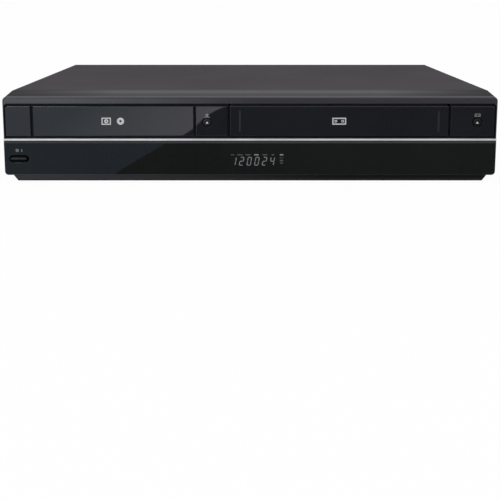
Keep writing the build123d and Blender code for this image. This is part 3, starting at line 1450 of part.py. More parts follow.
def board_with_parts(x0, x1, y0, y1, blocks, cans):
    """A circuit board on its standoffs with its parts on top, as separate solids."""
    pieces = [span(x0, x1, y0, y1, board_z, board_top)]
    for x in (x0 + STANDOFF_INSET, x1 - STANDOFF_INSET):
        for y in (y0 + STANDOFF_INSET, y1 - STANDOFF_INSET):
            pieces.append(post(x, y, pan_top, board_z, STANDOFF_RADIUS))
    for (across, back), (wide, long, tall) in blocks:
        x = x0 + across * (x1 - x0)
        y = y0 + back * (y1 - y0)
        top = board_top + tall
        pieces.append(span(x - wide / 2, x + wide / 2, y - long / 2, y + long / 2, board_top, top))
    for (across, back), (radius, tall) in cans:
        x = x0 + across * (x1 - x0)
        y = y0 + back * (y1 - y0)
        pieces.append(post(x, y, board_top, board_top + tall, radius))
    return group(pieces)


def main_board():
    blocks = zip(MAIN_BLOCK_SHARES, MAIN_BLOCK_SIZES)
    cans = zip(MAIN_CAN_SHARES, MAIN_CAN_SIZES)
    return board_with_parts(main_board_x0, main_board_x1, bay_y0, bay_y1, blocks, cans)


def power_board():
    blocks = zip(POWER_BLOCK_SHARES, POWER_BLOCK_SIZES)
    cans = zip(POWER_CAN_SHARES, POWER_CAN_SIZES)
    return board_with_parts(power_board_x0, power_board_x1, bay_y0, bay_y1, blocks, cans)


def jack_block():
    top = board_top + 2 * JACK_RISE + (JACK_ROWS - 1) * JACK_ROW_PITCH
    block = span(jacks_x0, jacks_x1, panel_y - JACK_BODY_DEPTH, panel_y, board_top, top)
    for x, z in jack_places:
        block += rod_y(x, z, panel_y - OVERRUN, rear_y, JACK_RADIUS)
    for x, z in jack_places:
        block -= rod_y(x, z, rear_y - JACK_BORE_DEPTH, rear_y + OVERRUN, JACK_BORE)
    return block


def tuner_can():
    can = span(tuner_x0, tuner_x1, panel_y - TUNER_LENGTH, panel_y, board_top, board_top + TUNER_HEIGHT)
    for x, z in antenna_places:
        can += rod_y(x, z, panel_y - OVERRUN, rear_y, ANTENNA_RADIUS)
        can -= rod_y(x, z, rear_y - JACK_BORE_DEPTH, rear_y + OVERRUN, ANTENNA_BORE)
    return can


def mains_inlet():
    half = INLET_WIDTH / 2
    nose = cover_rear + INLET_NOSE
    body = span(
        inlet_x - half, inlet_x + half, panel_y - INLET_DEPTH, panel_y, board_top, board_top + INLET_HEIGHT
    )
    body += inlet_nose(0, panel_y - OVERRUN, nose)
    body -= inlet_nose(-INLET_WALL, nose - INLET_SOCKET_DEPTH, nose + OVERRUN)
    for side in (-1, 1):
        x = inlet_x + side * INLET_PIN_HALF
        body += rod_y(x, inlet_z, nose - INLET_SOCKET_DEPTH - OVERRUN, nose - INLET_WALL, INLET_PIN_RADIUS)
    return body


pieces = (
    bottom_chassis, top_cover, rear_panel, feet, cover_screws,
    front_bezel, badge_plate, disc_key_plate, tape_key_plate, trim_strip, lower_fascia,
    power_button, disc_eject_button, tape_eject_button,
    front_board, tact_switches, display_tube, display_holder, tape_door, door_inlays,
    tray_door, disc_tray, loader_frame, drive_gear, pulley_gear, motor_pulley, loading_belt, loading_motor,
    clamp_bridge, disc_clamper, traverse_frame, spindle_motor, turntable, optical_pickup, pickup_lens,
    pickup_rods, lead_screw, sled_motor,
    deck_plate, deck_brackets, cassette_carriage, cassette_holder, lower_drum, upper_drum,
    supply_reel_table, takeup_reel_table, capstan, capstan_bearing, capstan_motor, pinch_arm, pinch_roller,
    erase_head, audio_head, tape_guides, deck_motor,
    main_board, power_board, tuner_can, jack_block, mains_inlet,
)

os.makedirs("parts", exist_ok=True)
for piece in pieces:
    export_step(piece(), f"parts/{piece.__name__}.step")
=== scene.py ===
import json
from math import cos, pi, radians, sin, tan

import bmesh
import bpy
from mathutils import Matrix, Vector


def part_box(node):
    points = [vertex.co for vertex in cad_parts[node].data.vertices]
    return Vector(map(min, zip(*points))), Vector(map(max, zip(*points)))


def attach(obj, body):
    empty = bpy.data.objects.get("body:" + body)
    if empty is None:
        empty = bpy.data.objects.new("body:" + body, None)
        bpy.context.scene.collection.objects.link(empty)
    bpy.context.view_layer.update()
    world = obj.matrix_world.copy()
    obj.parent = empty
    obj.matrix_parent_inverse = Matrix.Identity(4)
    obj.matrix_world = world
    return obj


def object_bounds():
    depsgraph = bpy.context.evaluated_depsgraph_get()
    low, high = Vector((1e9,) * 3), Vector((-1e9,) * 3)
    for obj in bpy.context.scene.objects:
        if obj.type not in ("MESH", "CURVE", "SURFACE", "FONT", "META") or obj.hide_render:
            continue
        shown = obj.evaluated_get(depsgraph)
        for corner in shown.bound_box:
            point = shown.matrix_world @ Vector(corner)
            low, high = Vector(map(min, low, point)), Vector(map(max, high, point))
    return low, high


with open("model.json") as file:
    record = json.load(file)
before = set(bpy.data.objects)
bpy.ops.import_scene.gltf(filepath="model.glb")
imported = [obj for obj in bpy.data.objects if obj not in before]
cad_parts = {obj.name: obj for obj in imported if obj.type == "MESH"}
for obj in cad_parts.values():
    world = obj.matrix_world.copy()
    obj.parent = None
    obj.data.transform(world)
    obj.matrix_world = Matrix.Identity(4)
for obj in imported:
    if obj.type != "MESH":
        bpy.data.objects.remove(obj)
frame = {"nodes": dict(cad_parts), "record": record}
cad_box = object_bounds()

# Lengths are in metres. The set faces -Y, +X is right seen from the front and +Z is up.
MM = 0.001
CIRCLE_SIDES = 48

# Shaders
EVEN = (1, 1, 1)  # no stretch of a noise
EDGE_SOFT = 0.1 * MM  # how softly one colour ends at the next
BEVEL_SAMPLES = 4
MIX_SHARE, MIX_FIRST, MIX_SECOND, MIX_RESULT = 0, 6, 7, 2  # sockets of a node that mixes colours

# Bezel
CROWN_RISE = 3.3 * MM  # of its sloped top
CREST_RISE = 0.45 * MM  # of its edge, above which the sloped top starts
CREST_SOFT = 0.4 * MM  # how softly the front's band ends at the sloped top
SLOPE_WAVE_Y = -0.159  # where its top's painted light and painted shade bands meet
SLOPE_WAVE_LENGTH = 0.0268
SLOPE_END = 0.12  # from the middle, from where its top gets painted shade and a matter finish toward its ends
RECESS_DEPTH = 0.7 * MM  # behind the face, from where the plates' recess gets painted black shade
RECESS_RIM = 0.8 * MM
BAND_ROUGH = (0.12, 0.18)
SLOPE_ROUGH = (0.58, 0.7)
SLOPE_END_ROUGH = 0.94

# Camera, fitted to the photograph
CAMERA_DISTANCE = 0.8353  # in front of the fascia
CAMERA_RISE = 0.16196  # above the chin's lower edge
CAMERA_PITCH = radians(9.914)
CAMERA_CLIP = 0.01
FOCAL_PIXELS = 967.8
AXIS_ROW = 163
IMAGE_SIZE = 500
SENSOR = 36.0

# Printed marks
PRINT_LIFT = 0.03 * MM  # how far they stand proud of what carries them
PRINT_WELD = PRINT_LIFT / 10  # corners nearer than this become one

# Display
DIGITS = "120024"
DIGIT_HEIGHT = 7.6 * MM
DIGIT_WIDTH = 3.7 * MM
DIGIT_PITCH = 6.7 * MM
DIGIT_STROKE = 0.64 * MM
DIGIT_GAP = 0.12 * MM
DIGIT_SLANT = tan(radians(10))
DIGITS_SHIFT = (-4.8 * MM, -1.0 * MM)  # from the display's middle
SEGMENT_SETS = {"0": "abcdef", "1": "bc", "2": "abdeg", "4": "bcfg"}
DISPLAY_GLOW = 0.1
DISPLAY_BARS = (  # from the display's middle across and up, width and height in millimetres, and whether lit
    (-22.8, 4.7, 3.0, 0.7, False),
    (-16.3, 4.7, 4.6, 0.9, False),
    (-9.3, 4.7, 4.4, 0.9, False),
    (-1.9, 4.7, 4.0, 1.0, True),
    (5.5, 4.7, 4.2, 0.9, False),
    (12.5, 4.7, 2.0, 1.1, False),
    (20.1, 4.7, 3.0, 1.2, True),
    (20.1, 2.0, 3.6, 0.5, False),
    (20.1, -0.4, 3.0, 1.2, False),
    (20.1, -2.7, 2.4, 0.9, False),
)

# Signs over the eject keys, and larger ones on the doors
SIGN_RISE = 6.4 * MM  # over a key's middle
SIGN_LINE = 0.4 * MM
ARROW_HALF = 1.2 * MM
ARROW_HEIGHT = 1.8 * MM
DISC_SIGN_RADIUS = 1.3 * MM
DISC_SIGN_HOLE = 0.45 * MM
TRAY_SIGN = (5.4 * MM, 0.5 * MM)  # line under the disc
TRAY_SIGN_DROP = 1.75 * MM
CADDY_SIGN = (3.4 * MM, 2.6 * MM)
CADDY_SIGN_DISC = 0.75 * MM
CADDY_SIGN_HOLE = 0.25 * MM
CASSETTE_SIGN = (5.0 * MM, 2.5 * MM)
CASSETTE_SIGN_REEL = 0.5 * MM
CASSETTE_SIGN_HUB = 0.25 * MM
DOOR_SIGN_SCALE = 2.4
DOOR_SIGN_SPREAD = 6.2 * MM  # of the tray door's two signs from their middle

# Power key's sign, and a bar of painted highlight on the key
POWER_SIGN_RISE = 7.4 * MM
POWER_SIGN_RADIUS = 1.3 * MM
POWER_SIGN_LINE = 0.55 * MM
POWER_SIGN_GAP = radians(70)
POWER_SIGN_ASIDE = 0.7 * MM  # of its middle from the key's
POWER_SIGN_SHIFT = 2.0 * MM  # of the ring and of the upright stroke from the sign's middle
# painted highlight: a lighter bar on the key, standing for the light its rounded top mirrors
POWER_HIGHLIGHT_BAR = (13.4 * MM, 1.6 * MM)
POWER_HIGHLIGHT_SHIFT = (-0.7 * MM, 0.2 * MM)  # from the key's middle
POWER_HIGHLIGHT_SINK = 0.12 * MM

# Jacks on the rear
JACK_COLUMNS = 6
JACK_ROWS = 2
JACK_PITCH = 15.0 * MM
JACK_ROW_PITCH = 17.0 * MM
JACK_EDGE = 7.5 * MM
JACK_RISE = 9.0 * MM
JACK_RADIUS = 4.2 * MM
COLLAR_RADIUS = 5.9 * MM
COLLAR_LENGTH = 2.4 * MM
COLLAR_EDGE = 0.4 * MM

# Studio
FLOOR_HALF = 20.0
FLOOR_WHITE_SHARE = 0.96  # how much of the floor's look is plain white, the rest takes shadows
AMBIENT = 0.75
KEY_LAMP = ((-0.7, -1.1, 1.7), 0.5, 7)  # place, width and watts
FILL_LAMP = ((1.3, -1.2, 1.1), 0.9, 4)

# Card that the glossy front mirrors, lying on the floor before the set
CARD_START = 0.01  # before the set
CARD_END = 2.6  # before the origin
CARD_HALF = 0.9
CARD_LIFT = 0.0005
CARD_EDGE_X = -0.1243  # a place on its slanting edge
CARD_EDGE_Y = -0.2169
CARD_EDGE_SLOPE = 0.165
CARD_EDGE_SOFT = 0.0015
CARD_EDGE_SWAY = 0.0055  # how far the edge's far part bends
CARD_EDGE_SWAY_LENGTH = 0.39
CARD_EDGE_SWAY_Y = -0.575
CARD_FOOT_Y = -0.212  # nearer than this the card fades from left to right
CARD_FOOT_SOFT = 0.002
CARD_FOOT_X = (-0.2, 0.07)
CARD_FOOT_LEVELS = (2.1, 0.1)
CARD_STEP_Y = -0.43  # nearer than this the card is dim and bluish
CARD_STEP_SOFT = 0.03
CARD_RISE_X = (-0.25, -0.05)  # across which its far part brightens
CARD_LEVELS = (0.32, 0.65, 1.3)  # near, far to the left, far by the edge
CARD_TOP_Y = (-0.805, -0.775)  # across which it turns brightest, for the band over the doors
CARD_TOP_X = (-0.38, 0.0)
CARD_TOP_LEVELS = (6.5, 0.4)
CARD_NEAR_TINT = (0.6, 0.85, 1.3, 1)
CARD_FOOT_TINT = (0.95, 0.98, 1.1, 1)
CARD_FAR_TINTS = ((0.85, 1.0, 1.12, 1), (1.02, 0.98, 1.04, 1))  # to the left, by the edge


def srgb(*levels):
    """A colour given as it looks on a screen, 0 to 255, as linear light."""
    shares = [level / 255 for level in levels]
    return tuple(s / 12.92 if s <= 0.04045 else ((s + 0.055) / 1.055) ** 2.4 for s in shares) + (1.0,)


# Colours, the darker one first in each pair, and finishes
WHITE = (1, 1, 1, 1)
BAND_COLOURS = (srgb(53, 52, 56), srgb(57, 56, 60))
# painted light and shade: the sloped top's darker and lighter bands stand for how a gently curved top would
# catch the light
SLOPE_PAINTED_SHADE_COLOURS = (srgb(38, 37, 40), srgb(70, 68, 73))
# painted shade at the ends of the sloped top
SLOPE_END_SHADE_COLOUR = srgb(40, 39, 41)
# painted shade in the recess round the plates
RECESS_SHADE_COLOUR = srgb(18, 18, 20)
CHIN_COLOUR = srgb(25, 26, 27)
DUST_COLOUR = srgb(70, 70, 72)
DULL_COLOUR = srgb(14, 14, 15)
DULL_ROUGH = 0.8
PLATE_COLOURS = (srgb(28, 29, 33), srgb(31, 32, 36))
PLATE_FINISH = {"specular": 0.5, "haze": 0.012}
POWER_KEY_COLOURS = (srgb(6, 7, 9), srgb(9, 10, 12))
POWER_KEY_FINISH = {"specular": 0.02, "haze": 0.3}
# painted highlight on the power key
POWER_HIGHLIGHT_COLOURS = (srgb(40, 43, 46), srgb(46, 49, 52))
POWER_HIGHLIGHT_SPECULAR = 0.15
LIT_COLOURS = (srgb(106, 110, 114), srgb(134, 138, 142))
DIM_COLOURS = (srgb(66, 66, 70), srgb(82, 82, 86))
PRINT_COLOURS = (srgb(184, 184, 186), srgb(206, 206, 208))
FAINT_COLOURS = (srgb(122, 122, 125), srgb(140, 140, 143))
BOARD_COLOURS = (srgb(16, 78, 42), srgb(44, 116, 62))
BOARD_PAD_COLOUR = srgb(176, 172, 150)
BOARD_PART_COLOURS = (srgb(24, 24, 26), srgb(44, 45, 50))
JACK_COLOURS = (srgb(22, 22, 23), srgb(34, 34, 36))
NICKEL_COLOUR = srgb(196, 194, 190)
COLLAR_COLOURS = {
    "yellow": (srgb(206, 166, 30), srgb(226, 188, 52)),
    "white": (srgb(214, 214, 210), srgb(232, 232, 228)),
    "red": (srgb(158, 28, 28), srgb(186, 44, 40)),
}
COLLAR_FINISH = {"blotch": 300, "rough": (0.3, 0.42), "grain": 1500, "depth": 0.01 * MM}
FLOOR_COLOUR = srgb(242, 242, 242)


# Shader building


def join(made, value, socket):
    """Links another node's output to a socket, or sets a constant on it."""
    if isinstance(value, bpy.types.NodeSocket):
        made.node_tree.links.new(value, socket)
    else:
        socket.default_value = value


def add(made, kind, inputs=None, **settings):
    """Adds a node to a material or world; an input is a value or another node's output."""
    node = made.node_tree.nodes.new("ShaderNode" + kind)
    for name, value in settings.items():
        setattr(node, name, value)
    for name, value in (inputs or {}).items():
        join(made, value, node.inputs[name])
    return node


def new_material(name, **values):
    """A fresh material and its principled shader with constant values set on its sockets."""
    made = bpy.data.materials.new(name)
    made.use_nodes = True
    shader = made.node_tree.nodes["Principled BSDF"]
    for socket, value in values.items():
        shader.inputs[socket.replace("_", " ").title().replace("Ior", "IOR")].default_value = value
    return made, shader


def bare(made):
    """Clears the nodes of a new material or world."""
    made.use_nodes = True
    made.node_tree.nodes.clear()
    return made


def feed(made, output, shader, socket):
    """Links an output to one of the shader's sockets."""
    made.node_tree.links.new(output, shader.inputs[socket])


def place(made, stretch=EVEN):
    """Object coordinates, which are the set's own frame at rest."""
    coordinates = add(made, "TexCoord").outputs["Object"]
    return add(made, "Mapping", {"Vector": coordinates, "Scale": stretch}).outputs["Vector"]


def axes(made):
    """The place's X, Y and Z as separate outputs."""
    return add(made, "SeparateXYZ", {"Vector": place(made)}).outputs


def noise(made, scale, detail=2.0, stretch=EVEN):
    """Even noise with scale lumps to the metre."""
    inputs = {"Vector": place(made, stretch), "Scale": scale, "Detail": detail}
    return add(made, "TexNoise", inputs).outputs["Fac"]


def compute(made, operation, *values):
    """A number worked out from values or other nodes' outputs."""
    return add(made, "Math", dict(enumerate(values)), operation=operation).outputs["Value"]


def product(made, *factors):
    """The factors' product."""
    result = factors[0]
    for factor in factors[1:]:
        result = compute(made, "MULTIPLY", result, factor)
    return result


def between(made, factor, low, high, start=0.35, end=0.65):
    """A value that goes from low to high as the factor goes from start to end."""
    inputs = {"Value": factor, "From Min": start, "From Max": end, "To Min": low, "To Max": high}
    return add(made, "MapRange", inputs).outputs["Result"]


def blend(made, share, first, second):
    """A value from first to second as a share goes from 0 to 1."""
    return between(made, share, first, second, start=0.0, end=1.0)


def ramp(made, value, start, end):
    """A share that goes from 0 to 1 as the value goes from start to end."""
    return between(made, value, 0.0, 1.0, start, end)


def step(made, value, at, soft=EDGE_SOFT):
    """0 below a place and 1 above it."""
    return ramp(made, value, at - soft, at + soft)


def drop(made, value, at, soft=EDGE_SOFT):
    """1 below a place and 0 above it."""
    return between(made, value, 1.0, 0.0, at - soft, at + soft)


def wave(made, value, start, length):
    """A sine of a value, 0 and rising at its start."""
    phase = compute(made, "MULTIPLY_ADD", value, 2 * pi / length, -2 * pi * start / length)
    return compute(made, "SINE", phase)


def mixed(made, share, first, second):
    """A colour from first to second."""
    node = add(made, "Mix", {MIX_SHARE: share, MIX_FIRST: first, MIX_SECOND: second}, data_type="RGBA")
    return node.outputs[MIX_RESULT]


def patchy(made, dark, light, scale, detail=2.0):
    """A colour that drifts between dark and light in soft patches."""
    return mixed(made, between(made, noise(made, scale, detail), 0.0, 1.0), dark, light)


def bump(made, shader, height, depth, soft_edge=0.0):
    """Raises the surface by a height, over edges that look slightly rounded."""
    inputs = {"Height": height, "Distance": depth}
    if soft_edge:
        rounded = add(made, "Bevel", {"Radius": soft_edge}, samples=BEVEL_SAMPLES)
        inputs["Normal"] = rounded.outputs["Normal"]
    feed(made, add(made, "Bump", inputs).outputs["Normal"], shader, "Normal")


# Materials


def surface(name, dark, light, blotch, rough, grain, depth, stretch=EVEN, soft_edge=0.0, **values):
    """A surface whose colour drifts in blotches, with a fine grain that also varies its gloss."""
    made, shader = new_material(name, **values)
    feed(made, patchy(made, dark, light, scale=blotch, detail=3.0), shader, "Base Color")
    fine = noise(made, scale=grain, stretch=stretch)
    feed(made, between(made, fine, *rough), shader, "Roughness")
    bump(made, shader, fine, depth, soft_edge)
    return made


def textured_paint(name, dark, light, specular):
    """Powder paint: a fine orange-peel texture with paler specks."""
    made, shader = new_material(name, specular_ior_level=specular)
    peel = noise(made, scale=1500, detail=1.0)
    specks = ramp(made, noise(made, scale=3200, detail=0.0), start=0.58, end=0.72)
    drift = between(made, noise(made, scale=9), low=0.0, high=0.7)
    base = mixed(made, drift, dark, light)
    feed(made, mixed(made, specks, base, light), shader, "Base Color")
    feed(made, between(made, peel, low=0.5, high=0.66), shader, "Roughness")
    bump(made, shader, peel, depth=0.05 * MM, soft_edge=0.4 * MM)
    return made


def bezel(name):
    """Grained plastic: satin band, matt sloped top with painted light and shade bands and painted shade
    toward its ends, darker chin, and a recess round the plates painted black as shade.
    """
    made, shader = new_material(name, specular_ior_level=0.2)
    low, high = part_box("front_bezel")
    brow_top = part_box("top_cover")[1].z - CROWN_RISE
    rim = high.x - RECESS_RIM
    split = axes(made)
    side = compute(made, "ABSOLUTE", split["X"])
    grain = noise(made, scale=1700, detail=1.0)
    slope = step(made, split["Z"], brow_top, CREST_SOFT)
    # painted light and shade in bands along the flat sloped top, in place of a curved surface
    painted_swell_shade = wave(made, split["Y"], SLOPE_WAVE_Y, SLOPE_WAVE_LENGTH)
    painted_bands = mixed(made, ramp(made, painted_swell_shade, start=-1.0, end=1.0), *SLOPE_PAINTED_SHADE_COLOURS)
    # painted shade: the sloped top darkens toward its ends, and turns matter there too
    past_crest = step(made, split["Z"], brow_top + CREST_RISE)
    shaded_matt_ends = product(made, past_crest, ramp(made, side, SLOPE_END, high.x))
    crown_with_painted_light = mixed(made, shaded_matt_ends, painted_bands, SLOPE_END_SHADE_COLOUR)
    band = patchy(made, *BAND_COLOURS, scale=10)
    inside = between(made, side, 1.0, 0.0, rim, rim + EDGE_SOFT)
    below = drop(made, split["Z"], brow_top - EDGE_SOFT)
    above_chin = step(made, split["Z"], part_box("lower_fascia")[0].z)
    # painted shade: the recess round the plates is darkened to near black, and made matter
    shaded_matt_recess = product(made, inside, below, above_chin, step(made, split["Y"], low.y + RECESS_DEPTH))
    upper = mixed(made, shaded_matt_recess, mixed(made, slope, band, crown_with_painted_light), RECESS_SHADE_COLOUR)
    feed(made, mixed(made, above_chin, CHIN_COLOUR, upper), shader, "Base Color")
    satin = between(made, grain, *BAND_ROUGH)
    matt = blend(made, shaded_matt_ends, between(made, grain, *SLOPE_ROUGH), SLOPE_END_ROUGH)
    rough = blend(made, compute(made, "MAXIMUM", slope, shaded_matt_recess), satin, matt)
    feed(made, rough, shader, "Roughness")
    bump(made, shader, grain, depth=0.02 * MM, soft_edge=0.4 * MM)
    return made


def gloss(name, dark, light, specular, haze, dull_above=None):
    """Moulded gloss plastic with a faint ripple, hair scratches and some dust; dull black above a height."""
    made, shader = new_material(name, specular_ior_level=specular)
    specks = noise(made, scale=2600, detail=0.0)
    dust = between(made, specks, low=0.0, high=0.35, start=0.66, end=0.8)
    colour = mixed(made, dust, patchy(made, dark, light, scale=14), DUST_COLOUR)
    scratches = noise(made, scale=260, detail=3.0, stretch=(0.04, 1, 1))
    rough = between(made, scratches, low=haze, high=haze * 2, start=0.4, end=0.75)
    if dull_above is not None:
        dull = step(made, axes(made)["Z"], dull_above)
        colour = mixed(made, dull, colour, DULL_COLOUR)
        rough = blend(made, dull, rough, DULL_ROUGH)
    feed(made, colour, shader, "Base Color")
    feed(made, rough, shader, "Roughness")
    ripple = noise(made, scale=60, detail=0.0)
    bump(made, shader, ripple, depth=0.002 * MM, soft_edge=0.35 * MM)
    return made


def brushed(name, dark, light, rough, stretch=EVEN):
    """Brushed or drawn metal with fine lines along its length."""
    made, shader = new_material(name, metallic=1.0)
    lines = noise(made, scale=900, detail=3.0, stretch=stretch)
    drift = between(made, noise(made, scale=25), low=0.0, high=0.6)
    shade = compute(made, "ADD", between(made, lines, low=0.0, high=0.5), drift)
    feed(made, mixed(made, shade, dark, light), shader, "Base Color")
    feed(made, between(made, lines, *rough), shader, "Roughness")
    bump(made, shader, lines, depth=0.01 * MM, soft_edge=0.3 * MM)
    return made


def plated(name, dark, light):
    """Zinc-plated sheet with its crystal spangle."""
    made, shader = new_material(name, metallic=1.0)
    cells = add(made, "TexVoronoi", {"Vector": place(made), "Scale": 300.0}).outputs["Color"]
    spangle = add(made, "RGBToBW", {"Color": cells}).outputs["Val"]
    shade = between(made, spangle, low=0.25, high=0.75, start=0.1, end=0.9)
    rough = between(made, spangle, low=0.31, high=0.41, start=0.1, end=0.9)
    feed(made, mixed(made, shade, dark, light), shader, "Base Color")
    feed(made, rough, shader, "Roughness")
    bump(made, shader, noise(made, scale=700), depth=0.01 * MM)
    return made


def turned(name, dark, light, axis):
    """Turned metal with fine rings about an upright axis."""
    made, shader = new_material(name, metallic=1.0)
    split = axes(made)
    across = compute(made, "SUBTRACT", split["X"], axis.x)
    back = compute(made, "SUBTRACT", split["Y"], axis.y)
    flat = add(made, "CombineXYZ", {"X": across, "Y": back}).outputs["Vector"]
    radius = add(made, "VectorMath", {0: flat}, operation="LENGTH").outputs["Value"]
    inputs = {"W": radius, "Scale": 2500.0, "Detail": 2.0}
    rings = add(made, "TexNoise", inputs, noise_dimensions="1D").outputs["Fac"]
    feed(made, mixed(made, between(made, rings, 0.0, 1.0), dark, light), shader, "Base Color")
    feed(made, between(made, rings, low=0.18, high=0.34), shader, "Roughness")
    bump(made, shader, rings, depth=0.006 * MM)
    return made


def circuit_board(name, parts_above=None):
    """Green board with lighter tracks; above the given height its parts are black."""
    made, shader = new_material(name, roughness=0.45)
    where = place(made)
    tracks = add(made, "TexBrick", {"Vector": where, "Scale": 190.0, "Mortar Size": 0.06}, offset=0.3)
    track = ramp(made, tracks.outputs["Fac"], start=0.2, end=0.8)
    cells = add(made, "TexVoronoi", {"Vector": where, "Scale": 330.0}).outputs["Distance"]
    pads = between(made, cells, 1.0, 0.0, start=0.12, end=0.2)
    board = mixed(made, pads, mixed(made, track, *BOARD_COLOURS), BOARD_PAD_COLOUR)
    if parts_above is not None:
        parts = patchy(made, *BOARD_PART_COLOURS, scale=60)
        above = ramp(made, axes(made)["Z"], parts_above, parts_above + EDGE_SOFT)
        board = mixed(made, above, board, parts)
    feed(made, board, shader, "Base Color")
    bump(made, shader, track, depth=0.03 * MM)
    return made


def jack_plastic(name):
    """Black moulded block whose barrels behind the panel are nickel-plated."""
    made, shader = new_material(name)
    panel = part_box("rear_panel")[1].y
    metal = ramp(made, axes(made)["Y"], panel, panel + EDGE_SOFT)
    grain = noise(made, scale=900)
    black = mixed(made, between(made, grain, 0.0, 1.0), *JACK_COLOURS)
    feed(made, mixed(made, metal, black, NICKEL_COLOUR), shader, "Base Color")
    feed(made, metal, shader, "Metallic")
    feed(made, between(made, grain, low=0.24, high=0.4), shader, "Roughness")
    bump(made, shader, grain, depth=0.02 * MM)
    return made


def glass(name, dark, light, specular):
    """Dark coated glass, with a faint dust on it."""
    made, shader = new_material(name, specular_ior_level=specular)
    specks = noise(made, scale=1800, detail=1.0)
    dust = between(made, specks, low=0.0, high=0.5, start=0.6, end=0.8)
    feed(made, mixed(made, dust, dark, light), shader, "Base Color")
    feed(made, between(made, noise(made, scale=90), low=0.04, high=0.09), shader, "Roughness")
    return made


def ink(name, dark, light, glow=0.0, specular=0.5):
    """Printed or lit marks, slightly uneven."""
    made, shader = new_material(name, roughness=0.5, emission_strength=glow, specular_ior_level=specular)
    colour = patchy(made, dark, light, scale=1400)
    feed(made, colour, shader, "Base Color")
    feed(made, colour, shader, "Emission Color")
    return made


def centre(node):
    """The middle of a CAD node's box."""
    low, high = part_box(node)
    return (low + high) / 2


def nonmetal_slots():
    """Slots of paint, plastic, rubber and glass: what makes each, its two colours and its finish."""
    along_x = (0.01, 1, 1)
    return {
        "cover_paint": (textured_paint, (77, 75, 78), (83, 81, 84), dict(specular=0.0)),
        "panel_paint": (textured_paint, (30, 30, 31), (40, 40, 41), dict(specular=0.4)),
        "fascia_gloss": (gloss, (25, 27, 26), (28, 30, 29), dict(specular=0.4, haze=0.01)),
        "key_plastic": (gloss, (24, 25, 28), (30, 31, 34), dict(specular=0.3, haze=0.12)),
        "trim_silver": (
            surface, (196, 196, 200), (214, 214, 218),
            dict(blotch=40, rough=(0.3, 0.42), grain=900, depth=0.005 * MM, stretch=along_x, metallic=0.2),
        ),
        "inlay_grey": (
            surface, (31, 31, 34), (38, 38, 41),
            dict(blotch=200, rough=(0.4, 0.52), grain=1500, depth=0.01 * MM, specular_ior_level=0.25),
        ),
        "foot_rubber": (
            surface, (22, 22, 22), (36, 36, 36),
            dict(blotch=120, rough=(0.7, 0.9), grain=1800, depth=0.05 * MM),
        ),
        "switch_black": (
            surface, (24, 24, 25), (38, 38, 40),
            dict(blotch=300, rough=(0.4, 0.55), grain=1500, depth=0.02 * MM),
        ),
        "dark_plastic": (
            surface, (30, 30, 32), (40, 40, 43),
            dict(blotch=30, rough=(0.42, 0.56), grain=1600, depth=0.03 * MM, soft_edge=0.3 * MM),
        ),
        "gear_nylon": (
            surface, (214, 212, 204), (228, 226, 220),
            dict(blotch=60, rough=(0.4, 0.5), grain=900, depth=0.02 * MM),
        ),
        "belt_rubber": (
            surface, (16, 16, 16), (28, 28, 28),
            dict(blotch=150, rough=(0.65, 0.8), grain=2200, depth=0.03 * MM),
        ),
        "roller_rubber": (
            surface, (24, 24, 25), (40, 40, 42),
            dict(blotch=200, rough=(0.6, 0.75), grain=2600, depth=0.02 * MM),
        ),
        "display_glass": (glass, (14, 16, 18), (44, 46, 48), dict(specular=0.6)),
        "lens_glass": (glass, (60, 84, 140), (110, 130, 176), dict(specular=0.8)),
    }


def metal_slots():
    """Slots of metal: what makes each, its two colours and its finish."""
    upright = (1, 1, 0.02)
    return {
        "chassis_steel": (plated, (150, 152, 154), (186, 188, 188), {}),
        "deck_steel": (plated, (158, 160, 160), (192, 194, 192), {}),
        "tuner_tin": (plated, (168, 168, 164), (198, 198, 194), {}),
        "screw_steel": (brushed, (54, 54, 56), (86, 86, 90), dict(rough=(0.3, 0.45))),
        "shaft_steel": (brushed, (186, 186, 188), (212, 212, 214), dict(rough=(0.14, 0.24))),
        "bush_brass": (brushed, (176, 140, 70), (206, 170, 98), dict(rough=(0.26, 0.38))),
        "motor_steel": (brushed, (168, 168, 170), (198, 198, 200), dict(rough=(0.26, 0.36), stretch=upright)),
        "head_metal": (brushed, (160, 160, 164), (190, 190, 194), dict(rough=(0.16, 0.28), stretch=upright)),
        "drum_aluminium": (turned, (196, 198, 200), (222, 224, 226), dict(axis=centre("upper_drum"))),
    }


def make_materials():
    """One material for each of the record's slots."""
    materials = {
        "plate_gloss": gloss("plate_gloss", *PLATE_COLOURS, **PLATE_FINISH),
        "bezel_plastic": bezel("bezel_plastic"),
        "board_green": circuit_board("board_green"),
        "jack_plastic": jack_plastic("jack_plastic"),
    }
    for slot, (maker, dark, light, finish) in (nonmetal_slots() | metal_slots()).items():
        materials[slot] = maker(slot, srgb(*dark), srgb(*light), **finish)
    return materials


def special_materials():
    """Nodes whose surface differs from place to place, or from others in their slot."""
    populated = circuit_board("board_with_parts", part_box("tuner_can")[0].z)
    hinged = gloss("door_gloss", *PLATE_COLOURS, **PLATE_FINISH, dull_above=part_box("tray_door")[1].z)
    dark_key = gloss("power_key_plastic", *POWER_KEY_COLOURS, **POWER_KEY_FINISH)
    return {"main_board": populated, "power_board": populated, "tape_door": hinged, "power_button": dark_key}


def dress_nodes(materials, special):
    """Gives each CAD node its own material, or else its slot's."""
    slot_of = {row["node"]: row["material_slot"] for row in frame["record"]["subparts"]}
    for node, piece in frame["nodes"].items():
        piece.data.materials.clear()
        piece.data.materials.append(special.get(node) or materials[slot_of[node]])


# Pieces that ride on the part


def finish_piece(name, mesh, body, material):
    """Turns a bmesh into a piece that rides on a body."""
    bmesh.ops.recalc_face_normals(mesh, faces=mesh.faces)
    data = bpy.data.meshes.new(name)
    mesh.to_mesh(data)
    mesh.free()
    data.materials.append(material)
    piece = bpy.data.objects.new(name, data)
    bpy.context.scene.collection.objects.link(piece)
    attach(piece, body)


